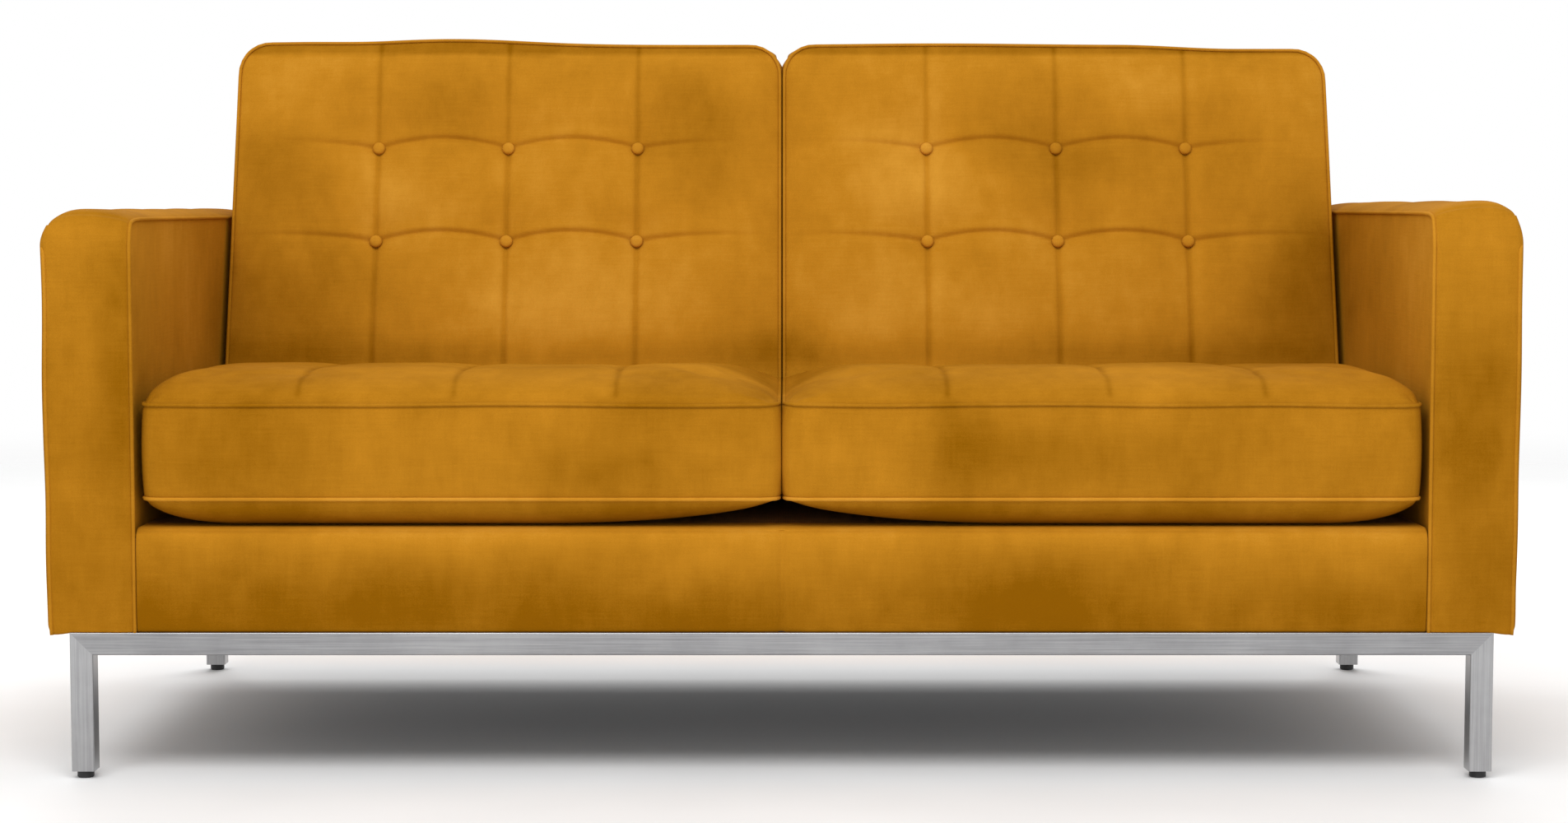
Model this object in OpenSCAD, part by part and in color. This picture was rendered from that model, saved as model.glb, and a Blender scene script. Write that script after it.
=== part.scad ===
// Two-seat sofa on a square-tube steel base.
// X runs to the viewer's right, the front faces -Y, Z is up. Lengths are in millimetres.
// The origin is on the floor, under the middle of the sofa's overall width and depth.
// "Left" and "right" are as seen by someone who stands in front of the sofa.

/* [Overall size] */
// Clear width between the two arms
seat_w = 1400; // [1200:10:1700]
// Width of one arm
arm_w = 98; // [85:1:120]
// Height of the arm tops above the floor
arm_top = 618; // [560:1:750]
// Height of the back sections' fabric above the floor
back_top = 822; // [760:1:1000]
// Depth of the steel base
base_d = 750; // [700:5:900]
// How far the back sections lean out behind the steel base
back_overhang = 40; // [25:1:60]

/* [Steel base] */
// Height of the top of the steel base above the floor
base_h = 160; // [130:1:200]
// Side of the square tube
tube = 25; // [20:1:32]
// Wall of the square tube
tube_wall = 2; // [1.5:0.1:2.5]
// Outside corner radius of the square tube
tube_corner = 2; // [1:0.1:3]
// How far the steel base stands in from the outside of the arms
base_inset = 28; // [15:1:45]
// How far the fabric panels stand back from the front and rear of the steel
fabric_setback = 3; // [2:0.5:8]
// Width of a mounting tab
tab_w = 40; // [30:1:60]
// How far a mounting tab reaches in from its tube
tab_reach = 25; // [22:1:30]
// Thickness of a mounting tab
tab_t = 4; // [3:0.5:5]

/* [Glides] */
// Diameter of a glide pad
pad_d = 18; // [14:1:24]
// Height of a glide pad, which is all that shows below a leg
pad_h = 7.7; // [6:0.1:12]
// Chamfer round the foot of a glide pad
pad_chamfer = 1.2; // [0.5:0.1:2]
// Diameter of the threaded stud
stud_d = 8; // [6:1:10]
// Length of the threaded stud
stud_l = 42; // [38:1:60]
// Depth of the stud in its pad
stud_in_pad = 5; // [4:0.5:6]
// Height of the threaded insert in a leg's foot
insert_h = 14; // [12:1:20]

/* [Timber frame] */
// Thickness of the main seat rails
rail_t = 40; // [38:1:50]
// Height of the seat rails
rail_h = 100; // [80:1:130]
// Thickness of the cross boards between the main rails
board_t = 22; // [18:1:30]
// Leg length of a triangular corner block
block_leg = 60; // [45:1:80]
// Height of a corner block
block_h = 70; // [50:1:80]
// Width of the posts and rails of an arm frame
arm_member_w = 45; // [35:1:60]
// Thickness of the plywood sides of a back frame
back_side_t = 18; // [15:1:22]
// Thickness of the rails of a back frame
back_rail_t = 20; // [18:1:25]
// Height of the bottom rails of a back frame
back_foot_h = 32; // [28:1:40]
// Height of the other rails of a back frame
back_rail_h = 55; // [40:1:70]

/* [Seat] */
// Depth of the seat, from the front panel to the back sections, at deck level
seat_d = 442; // [400:1:520]
// Height of a seat cushion's side panels, between the two piped edges
boxing_h = 102; // [80:1:140]
// Rise of a seat cushion's top above its upper piped edge
top_crown = 30; // [15:1:40]
// Drop of a seat cushion's underside below its lower piped edge
under_crown = 27; // [15:1:35]
// Plan corner radius of a seat cushion
cushion_corner = 26; // [15:1:40]
// Thickness of the padded deck under the cushions
deck_t = 14; // [10:1:20]
// Gap between an arm and the cushions and back sections
side_gap = 10; // [6:1:15]
// Gap between the left and right cushions, and between the back sections
middle_gap = 8; // [6:1:12]
// Gap between a seat cushion and the back section behind it
back_gap = 12; // [10:1:20]
// Length of a cushion zip
zip_l = 600; // [400:10:640]

/* [Back sections] */
// Lean of the back sections' front faces, from upright
back_lean = 17.5; // [10:0.5:22]
// Radius of the back sections' top corners
back_corner = 36; // [25:1:60]
// Thickness of the foam in front of the back webbing
back_foam_t = 90; // [60:1:110]
// Thickness of the padding over the top of a back frame
back_top_pad = 20; // [15:1:30]
// Diameter of a tufting button
button_d = 16; // [12:1:24]
// Sideways pitch of the tufting buttons
button_pitch = 164; // [120:1:170]
// Depth of the upper and the lower button row below the back's top
button_drop = [130, 247];

/* [Arms] */
// Radius of an arm's outer top edge
arm_edge = 28; // [15:1:35]
// Radius of an arm's front and rear top corners, seen from the side
arm_corner = 25; // [15:1:40]
// Padding at the sides of an arm frame
arm_side_pad = 12; // [8:1:15]
// Padding at the front of an arm frame
arm_front_pad = 25; // [15:1:35]
// Padding over the top of an arm frame
arm_top_pad = 22; // [15:1:30]

/* [Fabric, piping and webbing] */
// Thickness of the upholstered covers with their backing
skin = 2; // [1.5:0.1:3]
// Side of the piping cord
piping = 4; // [3:0.5:6]
// Thickness of the rail covers
rail_skin = 1.5; // [1:0.1:2]
// Thickness of the padding on the front rail
rail_pad = 10; // [6:1:15]
// Width of a webbing strap
strap_w = 50; // [40:1:60]
// Thickness of the webbing
strap_t = 2; // [1.5:0.1:3]
// Thickness of the dust cover under the seat
dust_t = 1; // [0.8:0.1:2]

/* [Fasteners and fits] */
// Diameter of the screws that hold the steel base
screw_d = 6; // [5:0.5:8]
// Length of a base screw under its head
screw_l = 44; // [35:1:60]
// Diameter of the bolts that join the timber frames
bolt_d = 8; // [6:1:10]
// Radial room round a screw or bolt in a pilot hole or a glide stud in its insert
thread_fit = 0.05; // [0.02:0.01:0.1]
// Radial room round a screw or bolt in a clearance hole
hole_fit = 0.4; // [0.2:0.1:1]
// Room between a moving piece and what it rests against
rest_gap = 0.3; // [0.2:0.1:0.5]

/* [Hidden] */

LEFT = -1;
RIGHT = 1;
FRONT = -1;
REAR = 1;
SIDES = [LEFT, RIGHT];
ENDS = [FRONT, REAR];
$fn = 64;
cut = 1;         // how far a cutting shape runs past what it cuts
through = 4000;  // longer than anything in the sofa
piping_proud = piping - skin / 2;  // the cord is let into half the cover's thickness

// Steel base
base_w = seat_w + 2 * arm_w - 2 * base_inset;
overall_d = base_d + back_overhang;
front_y = -overall_d / 2;
base_rear_y = front_y + base_d;
base_mid_y = (front_y + base_rear_y) / 2;
leg_foot = pad_h + rest_gap;
rail_z = base_h - tube / 2;
tab_z = base_h - tab_t;
tab_spread = 0.32;  // the outer tabs' place along a cross tube, from its middle
tab_x = [-tab_spread * base_w, 0, tab_spread * base_w];
tab_depth_spread = 0.22;  // the same along a side tube
tab_y = [base_mid_y - tab_depth_spread * base_d, base_mid_y + tab_depth_spread * base_d];
tab_hole_in = tab_reach / 2;
screw_head_d = 2 * screw_d;
screw_head_h = 4;

// Timber frame and deck
panel_front_y = front_y + fabric_setback;
panel_rear_y = base_rear_y - fabric_setback;
timber_z = base_h + dust_t;
timber_top = timber_z + rail_h;
front_rail_y = panel_front_y + rail_skin + rail_pad;
rear_rail_y = panel_rear_y - rail_skin - rail_t;
box_x = seat_w / 2;
box_front_y = front_rail_y + rail_t;
deck_z = timber_top + strap_t;
deck_top = deck_z + deck_t;
strap_pitch = 1.7 * strap_w;  // the least distance from strap to strap in the seat
support_front = 14;
support_y = face_y(timber_top) - support_front;
deck_rear_y = face_y(timber_top) - piping_proud;
rail_cover_x = box_x - piping_proud;  // the rail covers end at the arms' piping

// Seat cushions and back sections
section_w = (seat_w - 2 * side_gap - middle_gap) / 2;
section_x = (middle_gap + section_w) / 2;
cushion_z = deck_top + rest_gap;
lower_seam_z = cushion_z + under_crown;
upper_seam_z = lower_seam_z + boxing_h;
cushion_top = upper_seam_z + top_crown;
top_run = 62;    // how far in from the edge the crowned top levels out
under_run = 75;  // how far in from the edge the crowned underside levels out
crown_steps = 5;
rear_slope = (back_overhang + fabric_setback - piping_proud) / (back_top + piping_proud - timber_top);
face_room = skin / cos(back_lean);
foam_room = face_room + back_foam_t / cos(back_lean);
frame_room = foam_room + strap_t / cos(back_lean);
strap_gap = 0.05;  // between a back strap and what it lies against
back_frame_top = back_top - skin - back_top_pad;
button_h = 5;
button_rows = [for (drop = button_drop) back_top - drop];

// Arms
arm_frame_w = arm_w - 2 * (skin + arm_side_pad);
arm_frame_x = box_x + skin + arm_side_pad;
arm_frame_y = panel_front_y + skin + arm_front_pad;
arm_frame_d = panel_rear_y - skin - arm_side_pad - arm_frame_y;
arm_frame_top = arm_top - skin - arm_top_pad;

// Bolts
bolt_head_d = 14;
bolt_head_h = 5;
side_bolt_reach = 28;
side_bolt_y = [for (at = [0.22, 0.5, 0.78]) box_front_y + at * (rear_rail_y - box_front_y)];
side_bolt_z = timber_z + rail_h / 2;
rear_bolt_x = [section_x - section_w / 4, section_x + section_w / 4];
rear_bolt_y = panel_rear_y - skin - back_rail_t / 2;
rear_bolt_reach = 35;  // how deep the bolt goes into the rail
rear_bolt_l = back_foot_h + rear_bolt_reach;

// Zip
zip_z = (lower_seam_z + upper_seam_z) / 2;
zip_tape_h = 26;
zip_teeth_h = 6;
zip_teeth_t = 1;
slider_l = 9;
slider_h = 11;
slider_t = 3;
pull_w = 5;
pull_l = 24;
pull_t = 1.2;

STEEL = "silver";
BOLT = "dimgray";
PINE = "burlywood";
VELVET = "goldenrod";
WELT = "darkgoldenrod";
FOAM = "lightyellow";
STRAP = "saddlebrown";
FELT = "gray";

// Front face and rear face of the back sections at height z
function face_y(z) = panel_front_y + seat_d + (z - deck_top) * tan(back_lean);
function rear_y(z) = panel_rear_y + (z - timber_top) * rear_slope;
// Rear panel of a seat cushion at height z, which leans with the back
function cushion_rear_y(z) = face_y(z) - back_gap;

// ---- Shared shapes ----

module on_side(side) mirror([side == LEFT ? 1 : 0, 0, 0]) children();

// A box from its lowest corner to its highest corner
module block(low, high) translate(low) cube(high - low);

// A YZ profile drawn out along X from x0 to x1
module along_x(x0, x1) translate([x0, 0, 0]) rotate([90, 0, 90]) linear_extrude(x1 - x0) children();

// An XZ outline drawn out along the whole depth
module along_y() translate([0, through / 2, 0]) rotate([90, 0, 0]) linear_extrude(through) children();

// A rectangle from low to high with one radius on the upper corners
module round_top(low, high, r) {
    translate(low) square([high.x - low.x, high.y - r - low.y]);
    translate([low.x + r, low.y]) square([high.x - low.x - 2 * r, high.y - low.y]);
    for (x = [low.x + r, high.x - r]) translate([x, high.y - r]) circle(r);
}

// A rectangle from low to high with one radius on all corners
module round_all(low, high, r) {
    translate([low.x, low.y + r]) square([high.x - low.x, high.y - low.y - 2 * r]);
    translate([low.x + r, low.y]) square([high.x - low.x - 2 * r, high.y - low.y]);
    for (x = [low.x + r, high.x - r], y = [low.y + r, high.y - r]) translate([x, y]) circle(r);
}

// A bolt or screw along +Z, with its head below z = 0
module fastener(d, l, head_d, head_h) {
    cylinder(d = d, h = l);
    translate([0, 0, -head_h]) cylinder(d = head_d, h = head_h);
}

// ---- Steel base ----

module tube_section() difference() {
    round_all([-tube / 2, -tube / 2], [tube / 2, tube / 2], tube_corner);
    square(tube - 2 * tube_wall, center = true);
}

// The mitred tube across the front or the rear
module base_cross_tube(end) color(STEEL)
    intersection() {
        translate([-base_w / 2, base_tube_y(end), rail_z]) rotate([90, 0, 90])
            linear_extrude(base_w) tube_section();
        along_y() polygon([
            [-base_w / 2, base_h], [base_w / 2, base_h],
            [base_w / 2 - tube, base_h - tube], [-base_w / 2 + tube, base_h - tube]
        ]);
    }

// A mitred leg at a corner
module leg(side, end) color(STEEL) on_side(side)
    intersection() {
        translate([base_w / 2 - tube / 2, base_tube_y(end), leg_foot])
            linear_extrude(base_h - leg_foot) tube_section();
        along_y() polygon([
            [base_w / 2, leg_foot], [base_w / 2, base_h],
            [base_w / 2 - tube, base_h - tube], [base_w / 2 - tube, leg_foot]
        ]);
    }

module base_side_tube(side) color(STEEL) on_side(side)
    translate([base_w / 2 - tube / 2, base_rear_y - tube, rail_z]) rotate([90, 0, 0])
        linear_extrude(base_d - 2 * tube) tube_section();

function base_tube_y(end) = end == FRONT ? front_y + tube / 2 : base_rear_y - tube / 2;

module leg_inserts() color(BOLT)
    for (side = SIDES, end = ENDS) on_side(side)
        translate([base_w / 2 - tube / 2, base_tube_y(end), leg_foot]) difference() {
            translate([0, 0, insert_h / 2])
                cube([tube - 2 * tube_wall, tube - 2 * tube_wall, insert_h], center = true);
            translate([0, 0, -cut]) cylinder(r = stud_d / 2 + thread_fit, h = insert_h + 2 * cut);
        }

// Puts its child at each tab on the front and rear tubes, with +Y towards the middle
module at_cross_tabs()
    for (x = tab_x, end = ENDS)
        translate([x, end == FRONT ? front_y + tube : base_rear_y - tube, tab_z])
            rotate([0, 0, end == FRONT ? 0 : 180]) children();

// Puts its child at each tab on the side tubes, with +Y towards the middle
module at_side_tabs()
    for (side = SIDES, y = tab_y) on_side(side)
        translate([base_w / 2 - tube, y, tab_z]) rotate([0, 0, 90]) children();

module mounting_tabs() color(STEEL) {
    at_cross_tabs() mounting_tab();
    at_side_tabs() mounting_tab();
}

module mounting_tab() difference() {
    translate([-tab_w / 2, 0, 0]) cube([tab_w, tab_reach, tab_t]);
    translate([0, tab_hole_in, -cut]) cylinder(r = screw_d / 2 + hole_fit, h = tab_t + 2 * cut);
}

module base_screws() color(BOLT) base_screw_shapes(screw_d);

// The base screws, or their holes when d is wider
module base_screw_shapes(d) {
    at_cross_tabs() translate([0, tab_hole_in, 0]) fastener(d, screw_l, screw_head_d, screw_head_h);
    at_side_tabs() translate([0, tab_hole_in, 0]) fastener(d, screw_l, screw_head_d, screw_head_h);
}

// ---- Glides ----

module at_glide(side, end) on_side(side)
    translate([base_w / 2 - tube / 2, base_tube_y(end), 0]) children();

module glide_stud(side, end) color(BOLT) at_glide(side, end)
    translate([0, 0, pad_h - stud_in_pad]) cylinder(d = stud_d, h = stud_l);

module glide_pad(side, end) color("black") at_glide(side, end)
    difference() {
        union() {
            translate([0, 0, pad_chamfer]) cylinder(d = pad_d, h = pad_h - pad_chamfer);
            cylinder(d1 = pad_d - 2 * pad_chamfer, d2 = pad_d, h = pad_chamfer);
        }
        translate([0, 0, pad_h - stud_in_pad]) cylinder(d = stud_d, h = stud_in_pad + cut);
    }

// ---- Timber frame ----

module front_seat_rail() color(PINE) difference() {
    block([-box_x, front_rail_y, timber_z], [box_x, box_front_y, timber_top]);
    base_screw_shapes(screw_d + 2 * thread_fit);
}

module rear_seat_rail() color(PINE) difference() {
    block([-box_x, rear_rail_y, timber_z], [box_x, rear_rail_y + rail_t, timber_top]);
    base_screw_shapes(screw_d + 2 * thread_fit);
    rear_bolts(bolt_d + 2 * thread_fit);
}

module side_seat_rails() color(PINE) difference() {
    for (side = SIDES) on_side(side)
        block([box_x - rail_t, box_front_y, timber_z], [box_x, rear_rail_y, timber_top]);
    side_bolts(bolt_d + 2 * hole_fit);
}

module back_support_rail() color(PINE)
    block([-box_x + rail_t, support_y, timber_z], [box_x - rail_t, support_y + board_t, timber_top]);

module centre_seat_rails() color(PINE) difference() {
    for (span = [[box_front_y, support_y], [support_y + board_t, rear_rail_y]])
        block([-board_t / 2, span[0], timber_z], [board_t / 2, span[1], timber_top]);
    // A wide tube puts the middle tabs' screws partly in these rails
    base_screw_shapes(screw_d + 2 * thread_fit);
}

module corner_blocks() color(PINE)
    for (side = SIDES) on_side(side) {
        corner_block(box_front_y, 1);
        corner_block(rear_rail_y, -1);
    }

module corner_block(y, inward) translate([0, 0, timber_top - block_h]) linear_extrude(block_h)
    polygon([
        [box_x - rail_t, y], [box_x - rail_t, y + inward * block_leg], [box_x - rail_t - block_leg, y]
    ]);

module frame_bolts() color(BOLT) {
    side_bolts(bolt_d);
    rear_bolts(bolt_d);
}

// Bolts that join the seat's side rails to the arm frames
module side_bolts(d)
    for (side = SIDES, y = side_bolt_y) on_side(side)
        translate([box_x - rail_t, y, side_bolt_z]) rotate([0, 90, 0])
            fastener(d, rail_t + skin + arm_side_pad + side_bolt_reach, bolt_head_d, bolt_head_h);

// Bolts that hold the back frames down on the rear seat rail
module rear_bolts(d)
    for (side = SIDES, x = rear_bolt_x) on_side(side)
        translate([x, rear_bolt_y, timber_top + back_foot_h]) rotate([180, 0, 0])
            fastener(d, rear_bolt_l, bolt_head_d, bolt_head_h);

module arm_frame(side) color(PINE) on_side(side) difference() {
    block([arm_frame_x, arm_frame_y, base_h],
          [arm_frame_x + arm_frame_w, arm_frame_y + arm_frame_d, arm_frame_top]);
    // One opening on each side of the middle post
    for (at = [0, 1]) {
        bay_d = (arm_frame_d - 3 * arm_member_w) / 2;
        bay_y = arm_frame_y + arm_member_w + at * (bay_d + arm_member_w);
        block([arm_frame_x - cut, bay_y, base_h + rail_h + dust_t],
              [arm_frame_x + arm_frame_w + cut, bay_y + bay_d, arm_frame_top - arm_member_w]);
    }
    side_bolts(bolt_d + 2 * thread_fit);
    base_screw_shapes(screw_d + 2 * thread_fit);
}

// A slab that leans with the back's front face, from a to b behind it and z0 to z1
function front_leaf(a, b, z0, z1) =
    [[face_y(z0) + a, z0], [face_y(z1) + a, z1], [face_y(z1) + b, z1], [face_y(z0) + b, z0]];

// A slab that leans with the back's rear face, from a to b in front of it and z0 to z1
function rear_leaf(a, b, z0, z1) =
    [[rear_y(z0) - b, z0], [rear_y(z1) - b, z1], [rear_y(z1) - a, z1], [rear_y(z0) - a, z0]];

module back_frame(side) color(PINE) on_side(side) {
    x0 = section_x - section_w / 2 + skin;
    x1 = section_x + section_w / 2 - skin;
    difference() {
        intersection() {
            back_shape(skin);
            union() {
                // The two wedge-shaped plywood sides
                for (x = [x0 - cut, x1 - back_side_t]) along_x(x, x + back_side_t + cut) polygon([
                    [face_y(timber_top) + frame_room, timber_top],
                    [face_y(back_frame_top) + frame_room, back_frame_top],
                    [rear_y(back_frame_top) - skin, back_frame_top],
                    [rear_y(timber_top) - skin, timber_top]
                ]);
                for (band = [
                    [timber_top, timber_top + back_foot_h],
                    [(timber_top + back_frame_top) / 2, (timber_top + back_frame_top) / 2 + back_rail_h],
                    [back_frame_top - back_rail_h, back_frame_top]
                ]) {
                    along_x(x0, x1)
                        polygon(front_leaf(frame_room, frame_room + back_rail_t, band[0], band[1]));
                    along_x(x0, x1) polygon(rear_leaf(skin, skin + back_rail_t, band[0], band[1]));
                }
            }
        }
        rear_bolts(bolt_d + 2 * hole_fit);
    }
}

// ---- Suspension and deck ----

// The straps run both ways in one layer, over the seat box in front of the back
module seat_webbing() color(STRAP) {
    lengthwise = floor((deck_rear_y - front_rail_y) / strap_pitch);
    crosswise = floor(2 * box_x / strap_pitch);
    step_y = (deck_rear_y - front_rail_y - strap_w) / (lengthwise - 1);
    step_x = (2 * box_x - strap_w) / (crosswise - 1);
    for (i = [0:lengthwise - 1])
        translate([-box_x, front_rail_y + i * step_y, timber_top]) cube([2 * box_x, strap_w, strap_t]);
    for (i = [0:crosswise - 1])
        translate([-box_x + i * step_x, front_rail_y, timber_top])
            cube([strap_w, deck_rear_y - front_rail_y, strap_t]);
}

module back_webbing() color(STRAP)
    for (side = SIDES) on_side(side) {
        straps = 6;
        low = timber_top + back_foot_h;
        step = (back_frame_top - back_corner - low - strap_w) / (straps - 1);
        for (i = [0:straps - 1])
            along_x(section_x - section_w / 2 + skin, section_x + section_w / 2 - skin)
                polygon(front_leaf(foam_room + strap_gap, frame_room - strap_gap,
                                   low + i * step, low + i * step + strap_w));
    }

module deck_pad() color(FELT)
    block([-box_x, box_front_y, deck_z], [box_x, deck_rear_y, deck_top]);

module dust_cover() color("dimgray") difference() {
    block([-box_x, panel_front_y + rail_skin, base_h], [box_x, panel_rear_y - rail_skin, timber_z]);
    base_screw_shapes(screw_d + 2 * hole_fit);
}

module front_rail_pad() color(FOAM) along_x(-box_x, box_x) polygon([
    [panel_front_y + rail_skin, timber_z], [panel_front_y + rail_skin, deck_top - rail_skin],
    [box_front_y, deck_top - rail_skin], [box_front_y, deck_z],
    [front_rail_y, deck_z], [front_rail_y, timber_z]
]);

module front_rail_cover() color(VELVET) along_x(-rail_cover_x, rail_cover_x) polygon([
    [panel_front_y, base_h], [panel_front_y, deck_top], [box_front_y, deck_top],
    [box_front_y, deck_top - rail_skin], [panel_front_y + rail_skin, deck_top - rail_skin],
    [panel_front_y + rail_skin, base_h]
]);

module rear_rail_cover() color(VELVET)
    block([-rail_cover_x, panel_rear_y - rail_skin, base_h], [rail_cover_x, panel_rear_y, timber_top]);

// ---- Arms ----

// The right arm's outer form, drawn in by inset and cut off at height z0
module arm_shape(inset, z0) intersection() {
    along_x(box_x + inset, box_x + arm_w - inset) round_top(
        [panel_front_y + inset, z0], [panel_rear_y - inset, arm_top - inset], arm_corner - inset);
    along_y() {
        r = arm_edge - inset;
        inner = box_x + inset;
        outer = box_x + arm_w - inset;
        translate([inner, z0]) square([outer - r - inner, arm_top - inset - z0]);
        translate([inner, z0]) square([outer - inner, arm_top - inset - r - z0]);
        translate([outer - r, arm_top - inset - r]) circle(r);
    }
}

module arm_foam(side) color(FOAM) difference() {
    on_side(side) difference() {
        arm_shape(skin, base_h);
        block([arm_frame_x, arm_frame_y, base_h - cut],
              [arm_frame_x + arm_frame_w, arm_frame_y + arm_frame_d, arm_frame_top]);
    }
    side_bolts(bolt_d + 2 * hole_fit);
}

module arm_cover(side) color(VELVET) difference() {
    on_side(side) difference() {
        arm_shape(0, base_h);
        arm_shape(skin, base_h - cut);
        arm_welts();
    }
    side_bolts(bolt_d + 2 * hole_fit);
}

module arm_piping(side) color(WELT) on_side(side) arm_welts();

// Piping up the front, over the top and down the rear, on the inner and the outer side panel
module arm_welts() {
    arm_welt(box_x - piping_proud, arm_top);
    arm_welt(box_x + arm_w + piping_proud - piping, arm_top - arm_edge);
}

module arm_welt(x, top) along_x(x, x + piping) difference() {
    grow = piping_proud;
    round_top([panel_front_y - grow, base_h], [panel_rear_y + grow, top + grow], arm_corner + grow);
    shrink = piping - piping_proud;
    round_top([panel_front_y + shrink, base_h - cut], [panel_rear_y - shrink, top - shrink],
              arm_corner - shrink);
}

// ---- Back sections ----

// The right back section's outer form, drawn in by inset. It is open downwards.
module back_shape(inset, z0 = timber_top) intersection() {
    front = inset / cos(back_lean);
    along_x(section_x - section_w / 2 + inset, section_x + section_w / 2 - inset) polygon([
        [face_y(z0) + front, z0], [face_y(back_top - inset) + front, back_top - inset],
        [rear_y(back_top - inset) - inset, back_top - inset], [rear_y(z0) - inset, z0]
    ]);
    along_y() round_top(
        [section_x - section_w / 2 + inset, z0 - cut],
        [section_x + section_w / 2 - inset, back_top - inset], back_corner - inset);
}

// The foam in front of the webbing and over the top of the frame
module back_foam(side) color(FOAM) on_side(side) difference() {
    back_shape(skin);
    along_x(0, section_x + section_w) polygon([
        [face_y(timber_top - cut) + foam_room, timber_top - cut],
        [face_y(back_frame_top) + foam_room, back_frame_top],
        [rear_y(back_frame_top) + cut, back_frame_top],
        [rear_y(timber_top - cut) + cut, timber_top - cut]
    ]);
}

module back_cover(side) color(VELVET) on_side(side) difference() {
    back_shape(0);
    back_shape(skin, timber_top - cut);
    back_welts();
}

module back_piping(side) color(WELT) on_side(side) back_welts();

// Piping up one side, over the top and down the other, on the front and the rear panel
module back_welts() {
    back_welt() polygon(front_leaf(-piping_proud, piping - piping_proud, timber_top, back_top + piping));
    back_welt() polygon(rear_leaf(-piping_proud, piping - piping_proud, timber_top, back_top + piping));
}

module back_welt() intersection() {
    along_x(0, section_x + section_w) children();
    along_y() difference() {
        grow = piping_proud;
        shrink = piping - piping_proud;
        round_top([section_x - section_w / 2 - grow, timber_top],
                  [section_x + section_w / 2 + grow, back_top + grow], back_corner + grow);
        round_top([section_x - section_w / 2 + shrink, timber_top - cut],
                  [section_x + section_w / 2 - shrink, back_top - shrink], back_corner - shrink);
    }
}

// Six buttons on each back section, standing on its front face
module back_buttons() color(WELT)
    for (side = SIDES, column = [-1, 0, 1], z = button_rows) on_side(side)
        translate([section_x + column * button_pitch, face_y(z), z]) rotate([90 - back_lean, 0, 0]) {
            cylinder(d = button_d, h = button_h / 2);
            translate([0, 0, button_h / 2]) cylinder(d1 = button_d, d2 = button_d / 2, h = button_h / 2);
        }

// ---- Seat cushions ----

// Points up a crowned edge: out along run while it rises by rise, as a quarter of an ellipse
function crown(run, rise) =
    [for (i = [0:crown_steps]) [run * (1 - cos(90 * i / crown_steps)), rise * sin(90 * i / crown_steps)]];

// The closed outline of a cushion between the lines low(z) and high(z), given as end values at the seams:
// its side panel from the lower to the upper seam, and a crown above and below
function crowned_profile(low, high, inset) = concat(
    [for (p = crown(top_run, top_crown - inset)) [low[1] + inset + p.x, upper_seam_z + p.y]],
    [for (p = crown_down(top_run, top_crown - inset)) [high[1] - inset - p.x, upper_seam_z + p.y]],
    [for (p = crown(under_run, under_crown - inset)) [high[0] - inset - p.x, lower_seam_z - p.y]],
    [for (p = crown_down(under_run, under_crown - inset)) [low[0] + inset + p.x, lower_seam_z - p.y]]
);

// The same points in the opposite order
function crown_down(run, rise) = let (up = crown(run, rise)) [for (i = [crown_steps:-1:0]) up[i]];

// The right cushion's crowned form, drawn in by inset
module cushion_shape(inset) intersection() {
    along_x(section_x - section_w / 2 + inset, section_x + section_w / 2 - inset)
        polygon(crowned_profile(
            [panel_front_y, panel_front_y],
            [cushion_rear_y(lower_seam_z), cushion_rear_y(upper_seam_z)], inset));
    along_y() polygon(crowned_profile(
        [section_x - section_w / 2, section_x - section_w / 2],
        [section_x + section_w / 2, section_x + section_w / 2], inset));
    linear_extrude(back_top) cushion_outline(back_top, inset);
}

module seat_foam(side) color(FOAM) on_side(side) cushion_shape(skin);

module seat_cover(side) color(VELVET) on_side(side) difference() {
    cushion_shape(0);
    cushion_shape(skin);
    cushion_welts();
    // The slot that the zip fills
    zip_span() polygon(zip_profile(-2 * skin, cut));
}

module seat_piping(side) color(WELT) on_side(side) cushion_welts();

// Piping round the upper and the lower edge of the side panels
module cushion_welts()
    for (z = [lower_seam_z, upper_seam_z]) translate([0, 0, z - piping / 2]) linear_extrude(piping)
        difference() {
            cushion_outline(z, -piping_proud);
            cushion_outline(z, skin / 2);
        }

// The cushion's plan at height z, with round corners at the front
module cushion_outline(z, inset) mirror([0, 1]) round_top(
    [section_x - section_w / 2 + inset, inset - cushion_rear_y(z)],
    [section_x + section_w / 2 - inset, -panel_front_y - inset], cushion_corner - inset);

// ---- Zips, on the rear panels of the seat cushions ----

// A strip of the rear panel, from a to b out from the cover's surface
function zip_profile(a, b, h = zip_tape_h) = [
    [cushion_rear_y(zip_z - h / 2) + a, zip_z - h / 2], [cushion_rear_y(zip_z + h / 2) + a, zip_z + h / 2],
    [cushion_rear_y(zip_z + h / 2) + b, zip_z + h / 2], [cushion_rear_y(zip_z - h / 2) + b, zip_z - h / 2]
];

module zip_span() along_x(section_x - zip_l / 2, section_x + zip_l / 2) children();

module zip(side) color(FELT) on_side(side) {
    zip_span() polygon(zip_profile(-skin, 0));
    zip_span() polygon(zip_profile(-skin, zip_teeth_t, zip_teeth_h));
}

// The slider stands just clear of the teeth, at the inner end of the closed zip
module zip_slider(side) color(STEEL) on_side(side)
    translate([section_x - zip_l / 2 + slider_l, cushion_rear_y(zip_z), zip_z])
        rotate([-back_lean, 0, 0]) {
            translate([-slider_l / 2, zip_teeth_t + rest_gap, -slider_h / 2])
                cube([slider_l, slider_t, slider_h]);
            translate([-pull_w / 2, zip_teeth_t + rest_gap + slider_t - pull_t, -slider_h / 2 - pull_l])
                cube([pull_w, pull_t, pull_l]);
        }

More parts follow.
